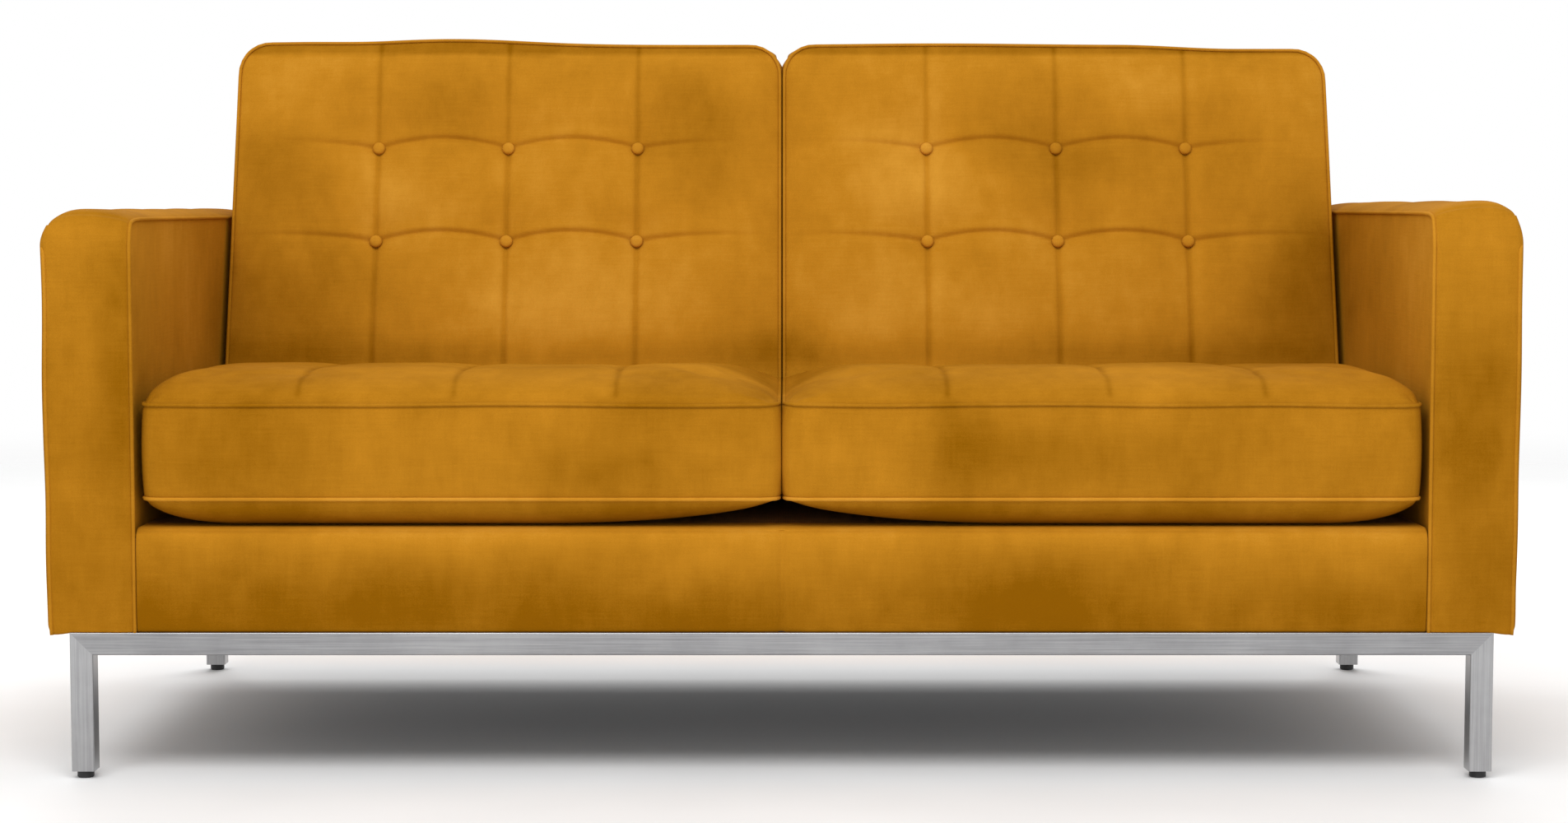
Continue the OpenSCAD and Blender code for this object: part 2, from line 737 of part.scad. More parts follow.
base_cross_tube(FRONT);  // base_front_tube
base_cross_tube(REAR);  // base_rear_tube
base_side_tube(LEFT);  // base_side_tube_left
base_side_tube(RIGHT);  // base_side_tube_right
leg(LEFT, FRONT);  // leg_front_left
leg(RIGHT, FRONT);  // leg_front_right
leg(LEFT, REAR);  // leg_rear_left
leg(RIGHT, REAR);  // leg_rear_right
leg_inserts();
mounting_tabs();
base_screws();
glide_stud(LEFT, FRONT);  // glide_stud_front_left
glide_stud(RIGHT, FRONT);  // glide_stud_front_right
glide_stud(LEFT, REAR);  // glide_stud_rear_left
glide_stud(RIGHT, REAR);  // glide_stud_rear_right
glide_pad(LEFT, FRONT);  // glide_pad_front_left
glide_pad(RIGHT, FRONT);  // glide_pad_front_right
glide_pad(LEFT, REAR);  // glide_pad_rear_left
glide_pad(RIGHT, REAR);  // glide_pad_rear_right
dust_cover();
front_seat_rail();
rear_seat_rail();
side_seat_rails();
centre_seat_rails();
back_support_rail();
corner_blocks();
frame_bolts();
arm_frame(LEFT);  // arm_frame_left
arm_frame(RIGHT);  // arm_frame_right
back_frame(LEFT);  // back_frame_left
back_frame(RIGHT);  // back_frame_right
seat_webbing();
back_webbing();
deck_pad();
front_rail_pad();
front_rail_cover();
rear_rail_cover();
arm_foam(LEFT);  // arm_foam_left
arm_foam(RIGHT);  // arm_foam_right
arm_cover(LEFT);  // arm_cover_left
arm_cover(RIGHT);  // arm_cover_right
arm_piping(LEFT);  // arm_piping_left
arm_piping(RIGHT);  // arm_piping_right
back_foam(LEFT);  // back_foam_left
back_foam(RIGHT);  // back_foam_right
back_cover(LEFT);  // back_cover_left
back_cover(RIGHT);  // back_cover_right
back_piping(LEFT);  // back_piping_left
back_piping(RIGHT);  // back_piping_right
back_buttons();
seat_foam(LEFT);  // seat_foam_left
seat_foam(RIGHT);  // seat_foam_right
seat_cover(LEFT);  // seat_cover_left
seat_cover(RIGHT);  // seat_cover_right
seat_piping(LEFT);  // seat_piping_left
seat_piping(RIGHT);  // seat_piping_right
zip(LEFT);  // zip_left
zip(RIGHT);  // zip_right
zip_slider(LEFT);  // zip_slider_left
zip_slider(RIGHT);  // zip_slider_right
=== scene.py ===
"""A two-seat velvet sofa on a square steel base: its looks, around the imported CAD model.

Metres, +Z up. The sofa faces -Y and stands on Z = 0.
"""

import math

import bpy
import numpy as np
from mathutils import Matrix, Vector, noise


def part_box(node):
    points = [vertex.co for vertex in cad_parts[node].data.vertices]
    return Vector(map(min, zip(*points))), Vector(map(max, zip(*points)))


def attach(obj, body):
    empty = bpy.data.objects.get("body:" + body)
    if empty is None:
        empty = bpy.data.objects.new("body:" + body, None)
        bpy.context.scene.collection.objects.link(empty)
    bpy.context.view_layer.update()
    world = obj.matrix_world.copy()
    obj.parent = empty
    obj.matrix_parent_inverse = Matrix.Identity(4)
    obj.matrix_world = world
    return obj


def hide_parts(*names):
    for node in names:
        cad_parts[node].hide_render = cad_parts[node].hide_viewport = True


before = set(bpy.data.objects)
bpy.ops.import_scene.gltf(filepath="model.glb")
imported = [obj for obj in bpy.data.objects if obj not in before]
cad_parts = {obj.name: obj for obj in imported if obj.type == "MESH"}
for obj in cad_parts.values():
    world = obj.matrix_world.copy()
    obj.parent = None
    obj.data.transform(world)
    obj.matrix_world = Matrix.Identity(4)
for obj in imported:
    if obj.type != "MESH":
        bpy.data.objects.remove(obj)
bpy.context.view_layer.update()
SIDES = {"left": -1, "right": 1}

# ---- Numbers ----

PANEL_STEP = 0.010      # grid spacing of an upholstered panel
FINE = (0.0022, 0.0050, 0.0085)   # extra grid lines beside a seam or an edge
CORD_R = 0.0021         # radius of the piping
CORD_OUT = 0.0012       # how far the piping's centre stands outside its seam


# ---- Meshes ----

def lines(low, high, step=PANEL_STEP, fine_at=()):
    """Grid coordinates from low to high, closer together beside the ends and the values in fine_at."""
    marks = [low, high, *fine_at]
    fine = {m + s * d for m in marks for d in (0, *FINE) for s in (-1, 1)}
    fine = [f for f in fine if low <= f <= high]
    plain = np.linspace(low, high, max(2, round((high - low) / step)) + 1)
    clear = max(FINE) + step / 3
    plain = [p for p in plain if all(abs(p - m) > clear for m in marks)]
    return np.array(sorted(set(fine) | set(plain)))


class Case:
    """A closed box whose faces are grids: its points, its quads, and where each point lies in the lattice."""

    def __init__(self, xs, ys, zs):
        self.xs, self.ys, self.zs = xs, ys, zs
        self.number, self.quads, self.keys = {}, [], []
        last = [len(a) - 1 for a in (xs, ys, zs)]
        for axis in range(3):
            b, c = (axis + 1) % 3, (axis + 2) % 3
            for end in (0, last[axis]):
                for m in range(last[b]):
                    for n in range(last[c]):
                        corners = [(m, n), (m + 1, n), (m + 1, n + 1), (m, n + 1)]
                        self.quads.append([self._point(axis, b, c, end, p, q)
                                           for p, q in (corners if end else corners[::-1])])
        k = np.array(self.keys)
        self.i, self.j, self.k = k.T
        self.flat = np.stack([xs[self.i], ys[self.j], zs[self.k]], 1)
        self.top = self.k == last[2]
        self.under = self.k == 0
        self.front = self.j == 0
        self.rear = self.j == last[1]
        self.inner = self.i == 0
        self.outer = self.i == last[0]

    def _point(self, axis, b, c, end, p, q):
        key = [0, 0, 0]
        key[axis], key[b], key[c] = end, p, q
        key = tuple(key)
        if key not in self.number:
            self.number[key] = len(self.keys)
            self.keys.append(key)
        return self.number[key]

    def rim(self, k):
        """The numbers of the points all round the side faces, in order, at the lattice height k."""
        nx, ny = len(self.xs) - 1, len(self.ys) - 1
        round_it = [(i, 0) for i in range(nx)] + [(nx, j) for j in range(ny)]
        round_it += [(i, ny) for i in range(nx, 0, -1)] + [(0, j) for j in range(ny, 0, -1)]
        return [self.number[(i, j, k)] for i, j in round_it]


def new_mesh(name, points, faces, material, smooth=True):
    mesh = bpy.data.meshes.new(name)
    mesh.from_pydata([tuple(map(float, p)) for p in points], [], [list(map(int, f)) for f in faces])
    mesh.polygons.foreach_set("use_smooth", [smooth] * len(mesh.polygons))
    mesh.materials.append(material)
    made = bpy.data.objects.new(name, mesh)
    bpy.context.scene.collection.objects.link(made)
    return made


def on_side(points, faces, side):
    """Shapes are made on the right, and mirrored for the left."""
    points = np.array(points, float)
    if SIDES[side] > 0:
        return points, faces
    points[:, 0] *= -1
    return points, [f[::-1] for f in faces]


def points_of(piece):
    co = np.zeros(len(piece.data.vertices) * 3)
    piece.data.vertices.foreach_get("co", co)
    return co.reshape(-1, 3)


def set_points(piece, points):
    piece.data.vertices.foreach_set("co", np.asarray(points, float).ravel())
    piece.data.update()


def subdivide(piece, levels=1):
    """Applies a subdivision surface, so that the mesh itself is the smooth one."""
    piece.modifiers.new("smooth", "SUBSURF").levels = levels
    piece.modifiers["smooth"].render_levels = levels
    evaluated = piece.evaluated_get(bpy.context.evaluated_depsgraph_get())
    mesh = bpy.data.meshes.new_from_object(evaluated)
    piece.modifiers.clear()
    old, piece.data = piece.data, mesh
    bpy.data.meshes.remove(old)


def rise(distance, run, power=2.0):
    """0 at an edge, 1 from run inwards, rounded like a stuffed edge in between."""
    t = np.clip(np.asarray(distance, float) / run, 0, 1)
    return (1 - (1 - t) ** power) ** (1 / power)


def bell(distance, width):
    return np.exp(-(np.asarray(distance, float) / width) ** 2)


def smooth_step(value, low, high):
    t = np.clip((np.asarray(value, float) - low) / (high - low), 0, 1)
    return t * t * (3 - 2 * t)


def groove(off, shape):
    """The depth of a sewn groove at a distance off its line. shape is pairs of a depth and a half-width."""
    return sum(depth * bell(off, width) for depth, width in shape)


def round_corner(a, b, corner_a, corner_b, r, way_a, way_b):
    """Rounds the corner at (corner_a, corner_b), which lies towards way_a and way_b, to radius r."""
    da = (a - (corner_a - way_a * r)) * way_a
    db = (b - (corner_b - way_b * r)) * way_b
    inside = (da > 0) & (db > 0)
    share = np.where(inside, np.maximum(da, db) / np.maximum(np.hypot(da, db), 1e-9), 1)
    return (np.where(inside, corner_a - way_a * r + way_a * da * share, a),
            np.where(inside, corner_b - way_b * r + way_b * db * share, b))


def wobble(points, size, seed):
    """A smooth value, mostly from -0.5 to 0.5, at each point, in waves about size long."""
    shift = Vector((7.3, 3.1, 5.7)) * seed
    return np.array([noise.noise(Vector(p) / size + shift) for p in points])


def swell(piece, held, pressure, cap, frames=20, stiffness=18, bending=2.0):
    """Cloth simulation: the cover swells like a filled case.

    held says how firmly each point stays, 0 to 1, and cap how far a point may move."""
    scene = bpy.context.scene
    start = points_of(piece)
    group = piece.vertex_groups.new(name="held")
    for number in np.nonzero(held > 0)[0]:
        group.add([int(number)], float(held[number]), "REPLACE")
    cloth = piece.modifiers.new("swell", "CLOTH")
    cloth.settings.quality = 5
    cloth.settings.mass = 0.3
    cloth.settings.tension_stiffness = stiffness
    cloth.settings.compression_stiffness = stiffness
    cloth.settings.shear_stiffness = stiffness / 3
    cloth.settings.bending_stiffness = bending
    cloth.settings.vertex_group_mass = group.name
    cloth.settings.use_pressure = True
    cloth.settings.uniform_pressure_force = pressure
    cloth.settings.effector_weights.gravity = 0
    cloth.point_cache.frame_start, cloth.point_cache.frame_end = 1, frames
    for f in range(1, frames + 1):
        scene.frame_set(f)
    evaluated = piece.evaluated_get(bpy.context.evaluated_depsgraph_get())
    mesh = evaluated.to_mesh()
    after = np.zeros(len(mesh.vertices) * 3)
    mesh.vertices.foreach_get("co", after)
    evaluated.to_mesh_clear()
    piece.modifiers.clear()
    piece.vertex_groups.clear()
    scene.frame_set(1)
    moved = after.reshape(-1, 3) - start
    far = np.linalg.norm(moved, axis=1, keepdims=True)
    set_points(piece, start + moved * np.minimum(1, cap / np.maximum(far, 1e-9)))


def sweep(name, path, radius, material, closed=False, sides=10):
    """A round cord along a path of points."""
    path = np.asarray(path, float)
    count = len(path)
    if closed:
        ahead, behind = np.roll(path, -1, 0), np.roll(path, 1, 0)
    else:
        ahead = np.vstack([path[1:], 2 * path[-1] - path[-2]])
        behind = np.vstack([2 * path[0] - path[1], path[:-1]])
    along = ahead - behind
    along /= np.linalg.norm(along, axis=1, keepdims=True)
    up = np.array([0.31, 0.11, 0.94]) if abs(along[0][2]) < 0.9 else np.array([0.94, 0.31, 0.11])
    rings = []
    for here, way in zip(path, along):
        up = up - way * (up @ way)
        up /= np.linalg.norm(up)
        across = np.cross(way, up)
        turn = [2 * math.pi * s / sides for s in range(sides)]
        rings += [here + radius * (math.cos(t) * across + math.sin(t) * up) for t in turn]
    faces = []
    for n in range(count if closed else count - 1):
        m = (n + 1) % count
        for s in range(sides):
            t = (s + 1) % sides
            faces.append([n * sides + s, m * sides + s, m * sides + t, n * sides + t])
    if not closed:
        faces += [[s for s in range(sides)], [(count - 1) * sides + s for s in range(sides)][::-1]]
    return new_mesh(name, rings, faces, material)


def lathe(profile, origin, axis, segments=28):
    """Points and faces of a turned solid. profile is (radius, height) pairs from its foot to its tip."""
    axis = Vector(axis).normalized()
    side = axis.orthogonal().normalized()
    other = axis.cross(side)
    points, faces = [], []
    for radius, height in profile[:-1]:
        for s in range(segments):
            t = 2 * math.pi * s / segments
            outwards = side * math.cos(t) + other * math.sin(t)
            points.append(Vector(origin) + axis * height + outwards * radius)
    tip = len(points)
    points.append(Vector(origin) + axis * profile[-1][1])
    rings = len(profile) - 1
    for ring in range(rings - 1):
        for s in range(segments):
            t = (s + 1) % segments
            a, b = ring * segments, (ring + 1) * segments
            faces.append([a + s, a + t, b + t, b + s])
    faces += [[(rings - 1) * segments + s, (rings - 1) * segments + (s + 1) % segments, tip]
              for s in range(segments)]
    faces.append([s for s in range(segments)][::-1])
    return points, faces


def small_box(middle, half):
    """Points and faces of a staple's back or a zip's tooth."""
    middle, half = np.array(middle, float), np.array(half, float)
    corners = [(a, b, c) for c in (-1, 1) for b in (-1, 1) for a in (-1, 1)]
    points = [middle + half * corner for corner in corners]
    faces = [[0, 2, 3, 1], [4, 5, 7, 6], [0, 1, 5, 4], [2, 6, 7, 3], [0, 4, 6, 2], [1, 3, 7, 5]]
    return points, faces


def join_shapes(shapes):
    """Several (points, faces) as one."""
    points, faces = [], []
    for some, theirs in shapes:
        faces += [[n + len(points) for n in f] for f in theirs]
        points += list(some)
    return points, faces


# ---- Materials ----

def srgb(r, g, b):
    """A colour given as 0 to 255 in sRGB, as the linear colour that a shader takes."""
    return tuple(c / 12.92 if c <= 0.04045 else ((c + 0.055) / 1.055) ** 2.4
                 for c in (r / 255, g / 255, b / 255)) + (1.0,)


def wave_scale(period):
    """The scale at which a wave texture's bands lie period metres apart."""
    return 2 * math.pi / 20 / period


class Surface:
    """A material under construction."""

    def __init__(self, name, **constants):
        self.material = bpy.data.materials.new(name)
        self.material.use_nodes = True
        self.tree = self.material.node_tree
        self.shader = self.tree.nodes["Principled BSDF"]
        for socket, value in constants.items():
            self.shader.inputs[socket.replace("_", " ")].default_value = value
        self.place = self.add("TexCoord").outputs["Object"]

    def add(self, kind, inputs=None, **settings):
        """Adds a node. inputs gives each socket a value, or the socket that it is linked to."""
        made = self.tree.nodes.new("ShaderNode" + kind)
        for key, value in settings.items():
            setattr(made, key, value)
        for key, value in (inputs or {}).items():
            if isinstance(value, bpy.types.NodeSocket):
                self.tree.links.new(value, made.inputs[key])
            else:
                made.inputs[key].default_value = value
        return made

    def stretched(self, scale):
        return self.add("Mapping", {"Vector": self.place, "Scale": scale}).outputs["Vector"]

    def noise(self, scale, detail=2.0, stretch=None, distortion=0.0, roughness=0.5):
        place = self.stretched(stretch) if stretch else self.place
        return self.add("TexNoise", {"Vector": place, "Scale": scale, "Detail": detail,
                                     "Roughness": roughness, "Distortion": distortion}).outputs["Fac"]

    def math(self, operation, a, b=0.5):
        return self.add("Math", {0: a, 1: b}, operation=operation).outputs[0]

    def total(self, start, *parts):
        """start plus, for each (value, amount), amount times how far the value is from a half."""
        for value, amount in parts:
            start = self.math("ADD", start, self.math("MULTIPLY", self.math("SUBTRACT", value), amount))
        return start

    def ramp(self, value, *stops):
        made = self.add("ValToRGB", {"Fac": value})
        spots = made.color_ramp.elements
        while len(spots) < len(stops):
            spots.new(0.5)
        for spot, (position, colour) in zip(spots, stops):
            spot.position, spot.color = position, colour
        return made.outputs["Color"]

    def colour(self, socket):
        self.tree.links.new(socket, self.shader.inputs["Base Color"])

    def rough(self, value, low, high):
        spread = self.add("MapRange", {"Value": value, "To Min": low, "To Max": high}).outputs["Result"]
        self.tree.links.new(spread, self.shader.inputs["Roughness"])

    def bump(self, height, distance, strength=1.0):
        made = self.add("Bump", {"Height": height, "Distance": distance, "Strength": strength})
        self.tree.links.new(made.outputs["Normal"], self.shader.inputs["Normal"])


def make_velvet(name, deep, middle, light):
    """Short-pile velvet: brushed patches with painted light and shade, a fine weave under the pile, and a
    soft sheen.

    The mesh attribute says how a spot is brushed and how much painted light or shade it carries, from 0,
    dark, to 1, light."""
    s = Surface(name, Roughness=0.9, Specular_IOR_Level=0.03, Sheen_Weight=0.06, Sheen_Roughness=0.4,
                Sheen_Tint=(1.0, 0.60, 0.04, 1.0))
    nap_and_shade = s.add("Attribute", attribute_name="nap_and_shade").outputs["Fac"]
    clouds = s.noise(4.6, 3.0, distortion=0.5)
    smudges = s.noise(15.0, 4.0, roughness=0.6)
    brushed = s.noise(60.0, 3.0, stretch=(1.0, 1.0, 0.45))
    pile = s.noise(950.0, 2.0)
    warp = s.noise(430.0, 1.0, stretch=(1.0, 1.0, 0.06))
    weft = s.noise(430.0, 1.0, stretch=(0.06, 0.06, 1.0))
    shade = s.total(nap_and_shade, (clouds, 0.62), (smudges, 0.24), (brushed, 0.20),
                    (pile, 0.20), (warp, 0.06), (weft, 0.09))
    s.colour(s.ramp(shade, (0.0, deep), (0.5, middle), (1.0, light)))
    s.rough(brushed, 0.84, 0.97)
    s.bump(s.total(pile, (warp, 0.4), (weft, 0.5), (brushed, 1.2)), 0.0005, 0.5)
    return s.material


def make_steel(name, stretch, dark=132, light=172):
    """Satin-polished steel with the polishing lines along one direction."""
    s = Surface(name, Metallic=1.0)
    grain = s.noise(900.0, 3.0, stretch=stretch)
    broad = s.noise(9.0, 3.0)
    handled = s.noise(40.0, 4.0, roughness=0.65)
    shade = s.total(grain, (broad, 0.8), (handled, 0.35))
    s.colour(s.ramp(shade, (0.1, srgb(dark, dark, dark + 2)), (0.9, srgb(light, light, light + 1))))
    s.rough(s.total(handled, (grain, 0.5)), 0.24, 0.40)
    s.bump(grain, 0.00006, 0.4)
    return s.material


def make_metal(name, dark, light, roughness, thread_pitch=None):
    """Plated or cast metal with faint spots, and with a thread's rings if it has a pitch."""
    s = Surface(name, Metallic=1.0)
    spots = s.noise(260.0, 4.0, roughness=0.6)
    s.colour(s.ramp(spots, (0.25, dark), (0.75, light)))
    s.rough(spots, roughness - 0.08, roughness + 0.1)
    height = s.noise(1200.0, 2.0)
    if thread_pitch:
        rings = s.add("TexWave", {"Vector": s.place, "Scale": wave_scale(thread_pitch)},
                      wave_type="BANDS", bands_direction="Z").outputs["Fac"]
        height = s.total(rings, (height, 0.2))
    s.bump(height, 0.0002 if thread_pitch else 0.00005, 0.6)
    return s.material


def make_plain(name, dark, light, scale, roughness, grain=900.0, depth=0.0002):
    """A moulded or foamed surface: mottled at one scale, pitted at a finer one."""
    s = Surface(name)
    broad = s.noise(scale, 4.0, roughness=0.6)
    pits = s.noise(grain, 3.0)
    s.colour(s.ramp(s.total(broad, (pits, 0.5)), (0.2, dark), (0.8, light)))
    s.rough(pits, roughness - 0.08, min(1.0, roughness + 0.08))
    s.bump(pits, depth, 0.7)
    return s.material


def make_wood(name, dark, light, along, plies=False):
    """Sawn timber. along stretches the grain: it is small along the fibres."""
    s = Surface(name)
    rings = s.noise(26.0, 4.0, stretch=along, distortion=1.2)
    pores = s.noise(420.0, 2.0, stretch=along)
    shade = s.total(rings, (pores, 0.5))
    if plies:
        sheets = s.add("TexWave", {"Vector": s.place, "Scale": 60.0, "Distortion": 0.4}).outputs["Fac"]
        shade = s.total(shade, (sheets, 0.3))
    s.colour(s.ramp(shade, (0.2, dark), (0.8, light)))
    s.rough(pores, 0.6, 0.8)
    s.bump(s.total(pores, (rings, 0.6)), 0.0003, 0.6)
    return s.material


def make_cloth(name, dark, light, thread, depth=0.0004, roughness=0.9):
    """A plain weave with threads that lie thread metres apart, across X and along Y or Z."""
    s = Surface(name, Roughness=roughness)
    rate = wave_scale(thread)
    across = s.add("TexWave", {"Vector": s.place, "Scale": rate}, bands_direction="X").outputs["Fac"]
    along = s.add("TexWave", {"Vector": s.place, "Scale": rate}, bands_direction="Y").outputs["Fac"]
    upright = s.add("TexWave", {"Vector": s.place, "Scale": rate}, bands_direction="Z").outputs["Fac"]
    slubs = s.noise(70.0, 4.0)
    weave = s.total(across, (along, 0.8), (upright, 0.8))
    s.colour(s.ramp(s.total(slubs, (weave, 0.5)), (0.15, dark), (0.85, light)))
    s.bump(s.total(weave, (slubs, 0.6)), depth, 0.7)
    return s.material


velvet = make_velvet("velvet", srgb(134, 84, 2), srgb(183, 123, 28), srgb(220, 160, 60))
trim = make_velvet("velvet_trim", srgb(140, 89, 4), srgb(190, 129, 34), srgb(226, 166, 68))
steel = {axis: make_steel(f"satin_steel_{axis}", stretch)
         for axis, stretch in (("x", (0.012, 1, 1)), ("y", (1, 0.012, 1)))}
# The legs' steel is painted lighter than the rails': a painted highlight for the light the legs catch.
steel["z"] = make_steel("satin_steel_z", (1, 1, 0.012), 144, 186)
zinc = make_metal("zinc_steel", srgb(140, 142, 146), srgb(186, 188, 190), 0.4)
stud_metal = make_metal("threaded_zinc", srgb(140, 142, 146), srgb(186, 188, 190), 0.4, thread_pitch=0.00125)
nylon = make_plain("black_nylon", srgb(16, 16, 17), srgb(34, 34, 35), 90.0, 0.5)
timber = {axis: make_wood(f"hardwood_{axis}", srgb(176, 136, 88), srgb(214, 178, 128), stretch)
          for axis, stretch in (("x", (0.08, 1, 1)), ("z", (1, 1, 0.08)))}
plywood = make_wood("plywood", srgb(186, 148, 100), srgb(220, 188, 142), (1, 1, 0.1), plies=True)
webbing = make_cloth("webbing", srgb(74, 50, 30), srgb(124, 92, 58), 0.0022)
deck_cloth = make_cloth("deck_cloth", srgb(128, 82, 14), srgb(168, 114, 34), 0.0014)
dust_cloth = make_cloth("dust_cloth", srgb(20, 20, 21), srgb(46, 46, 47), 0.0016, roughness=0.95)
zip_tape = make_cloth("zip_tape", srgb(120, 76, 10), srgb(160, 108, 28), 0.0011)
brass = make_metal("zip_metal", srgb(150, 118, 60), srgb(206, 176, 112), 0.32)

CAD_LOOKS = {
    "base_front_tube": steel["x"], "base_rear_tube": steel["x"],
    "base_side_tube": steel["y"], "leg_front": steel["z"], "leg_rear": steel["z"],
    "mounting_tabs": zinc, "leg_inserts": zinc, "base_screws": zinc, "frame_bolts": zinc,
    "glide_stud": stud_metal, "glide_pad": nylon,
    "front_seat_rail": timber["x"], "rear_seat_rail": timber["x"], "side_seat_rails": timber["z"],
    "back_support_rail": timber["x"], "centre_seat_rails": timber["z"], "corner_blocks": timber["x"],
    "arm_frame": timber["z"], "back_frame": plywood, "seat_webbing": webbing, "back_webbing": webbing,
}
for node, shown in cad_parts.items():
    for start, material in CAD_LOOKS.items():
        if node.startswith(start):
            shown.data.materials.clear()
            shown.data.materials.append(material)


# ---- Measures that the soft parts share, from the frame ----

def cad_points(node):
    return np.array([v.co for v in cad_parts[node].data.vertices])


def ends(points, pick):
    """The Y of the foremost (min) or rearmost (max) of the points at their foot, and its slope upwards."""
    z = points[:, 2]
    low, high = z.min(), z.max()
    foot = pick(points[z < low + 1e-4, 1])
    return foot, (pick(points[z > high - 1e-4, 1]) - foot) / (high - low)


def islands(points, reach):
    """The middles of the clusters of points that lie within reach of each other."""
    found = []
    for p in points:
        for members in found:
            if np.linalg.norm(members[0] - p) < reach:
                members.append(p)
                break
        else:
            found.append([p])
    return [np.mean([np.min(m, 0), np.max(m, 0)], 0) for m in found]


BACK_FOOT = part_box("back_cover_right")[0].z
FACE_FOOT_Y = ends(cad_points("back_cover_right"), np.min)[0]
REAR_FOOT_Y = ends(cad_points("back_cover_right"), np.max)[0]
FACE_LEAN = ends(cad_points("back_foam_right"), np.min)[1]
REAR_LEAN = ends(cad_points("back_frame_right"), np.max)[1]
FACE_OUT = np.array([0, -1, FACE_LEAN]) / math.hypot(1, FACE_LEAN)
BUTTONS = [b for b in islands(cad_points("back_buttons"), 0.02) if b[0] > 0]
CORD_HALF = 0.002       # half the piping's height in the frame
BELLY = 0.004           # how far past the middle a section would bulge if it had no neighbour
SEAT_ROOM = 0.0002      # between the middle and the loose seat cushions


def face_y(z):
    """Where a back section's front face lies at the height z."""
    return FACE_FOOT_Y + (z - BACK_FOOT) * FACE_LEAN


def rear_y(z):
    """Where a back section's rear face lies at the height z."""
    return REAR_FOOT_Y + (z - BACK_FOOT) * REAR_LEAN


# Where the pile is brushed, and where shade and light are painted on: middle, reach along X, Y and Z, and how
# much lighter or darker
NAP_AND_SHADE_PATCHES = [
    # The back sections: painted shade beside the arms, near the middle, and round the outer lower buttons
    ((-0.62, 0.08, 0.50), (0.15, 0.12, 0.10), -0.26),
    ((0.62, 0.08, 0.50), (0.15, 0.12, 0.10), -0.20),
    ((-0.10, 0.16, 0.71), (0.10, 0.2, 0.07), -0.32),
    ((-0.66, 0.16, 0.66), (0.05, 0.2, 0.08), -0.18),
    ((-0.42, 0.16, 0.76), (0.07, 0.2, 0.04), -0.16),
    ((0.34, 0.14, 0.69), (0.10, 0.2, 0.05), -0.22),
    ((0.56, 0.14, 0.68), (0.07, 0.2, 0.06), -0.20),
    ((0.66, 0.14, 0.56), (0.05, 0.2, 0.12), -0.25),
    ((0.0, 0.10, 0.45), (0.05, 0.2, 0.03), -0.25),
    ((-0.28, 0.10, 0.50), (0.16, 0.2, 0.08), 0.20),
    ((0.20, 0.10, 0.50), (0.18, 0.2, 0.08), 0.14),
    ((-0.50, 0.14, 0.62), (0.08, 0.2, 0.05), 0.16),
    ((0.18, 0.14, 0.64), (0.09, 0.2, 0.05), 0.16),
    # The arms: painted highlights along the tops and the front's upper outside, painted shade low down and
    # inside
    ((-0.75, -0.39, 0.585), (0.06, 0.12, 0.025), 0.18),
    ((0.755, -0.39, 0.575), (0.05, 0.12, 0.045), 0.10),
    ((-0.715, -0.39, 0.42), (0.03, 0.12, 0.12), -0.26),
    ((0.75, -0.39, 0.40), (0.06, 0.12, 0.12), -0.22),
    ((0.75, -0.39, 0.22), (0.06, 0.12, 0.08), -0.14),
    # The seat fronts
    ((0.28, -0.39, 0.36), (0.14, 0.10, 0.035), -0.18),
    ((-0.58, -0.39, 0.35), (0.09, 0.10, 0.03), -0.10),
    ((-0.20, -0.39, 0.33), (0.13, 0.10, 0.03), -0.12),
    # The front rail
    ((-0.37, -0.39, 0.20), (0.13, 0.10, 0.040), -0.24),
    ((0.27, -0.39, 0.20), (0.10, 0.10, 0.040), -0.22),
    ((0.62, -0.39, 0.19), (0.07, 0.10, 0.03), -0.14),
    ((-0.08, -0.39, 0.24), (0.10, 0.10, 0.03), 0.14),
]


def set_nap_and_shade(piece, base, extra=None):
    """Gives each point its nap and painted light: the base, the brushed and painted-shade patches that it
    lies in, and extra.
    """
    points = points_of(piece)
    nap_and_shade = np.full(len(points), float(base))
    for middle, reach, amount in NAP_AND_SHADE_PATCHES:
        nap_and_shade += amount * np.exp(-(((points - middle) / reach) ** 2).sum(1))
    if extra is not None:
        nap_and_shade += extra(points)
    layer = piece.data.attributes.new("nap_and_shade", "FLOAT", "POINT")
    layer.data.foreach_set("value", nap_and_shade.astype(np.float32))


def seam_shade(place, seams):
    """How much painted shade lies in the seams, and how much painted highlight just beside them."""
    return sum(0.17 * bell(place - seam, 0.0034) - 0.04 * bell(place - seam - 0.012, 0.008) for seam in seams)


def upholster(piece, body, nodes=(), base=0.45, extra=None):
    """Finishes a velvet piece and says what it stands for. base is the piece's painted light or shade,
    lighter or darker for how the light falls on it.
    """
    set_nap_and_shade(piece, base, extra)
    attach(piece, body)
    if nodes:
        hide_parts(*nodes)


def press_flat(piece, side, room=0.0):
    """Flattens a section where it bulges against its neighbour in the middle, up to room from the middle."""
    points = points_of(piece)
    points[:, 0] = SIDES[side] * np.maximum(SIDES[side] * points[:, 0], room)
    set_points(piece, points)


def piping(name, path, body, nodes=(), closed=False, base=0.40):
    """A velvet-covered cord sewn into a seam."""
    cord = sweep(name, path, CORD_R, trim, closed)
    upholster(cord, body, nodes, base=base)


def softened(path, times):
    """A path with its corners rounded off. Its ends stay."""
    path = np.array(path, float)
    for _ in range(times):
        path[1:-1] = (path[:-2] + 2 * path[1:-1] + path[2:]) / 4
    return path


# ---- Seat cushions ----

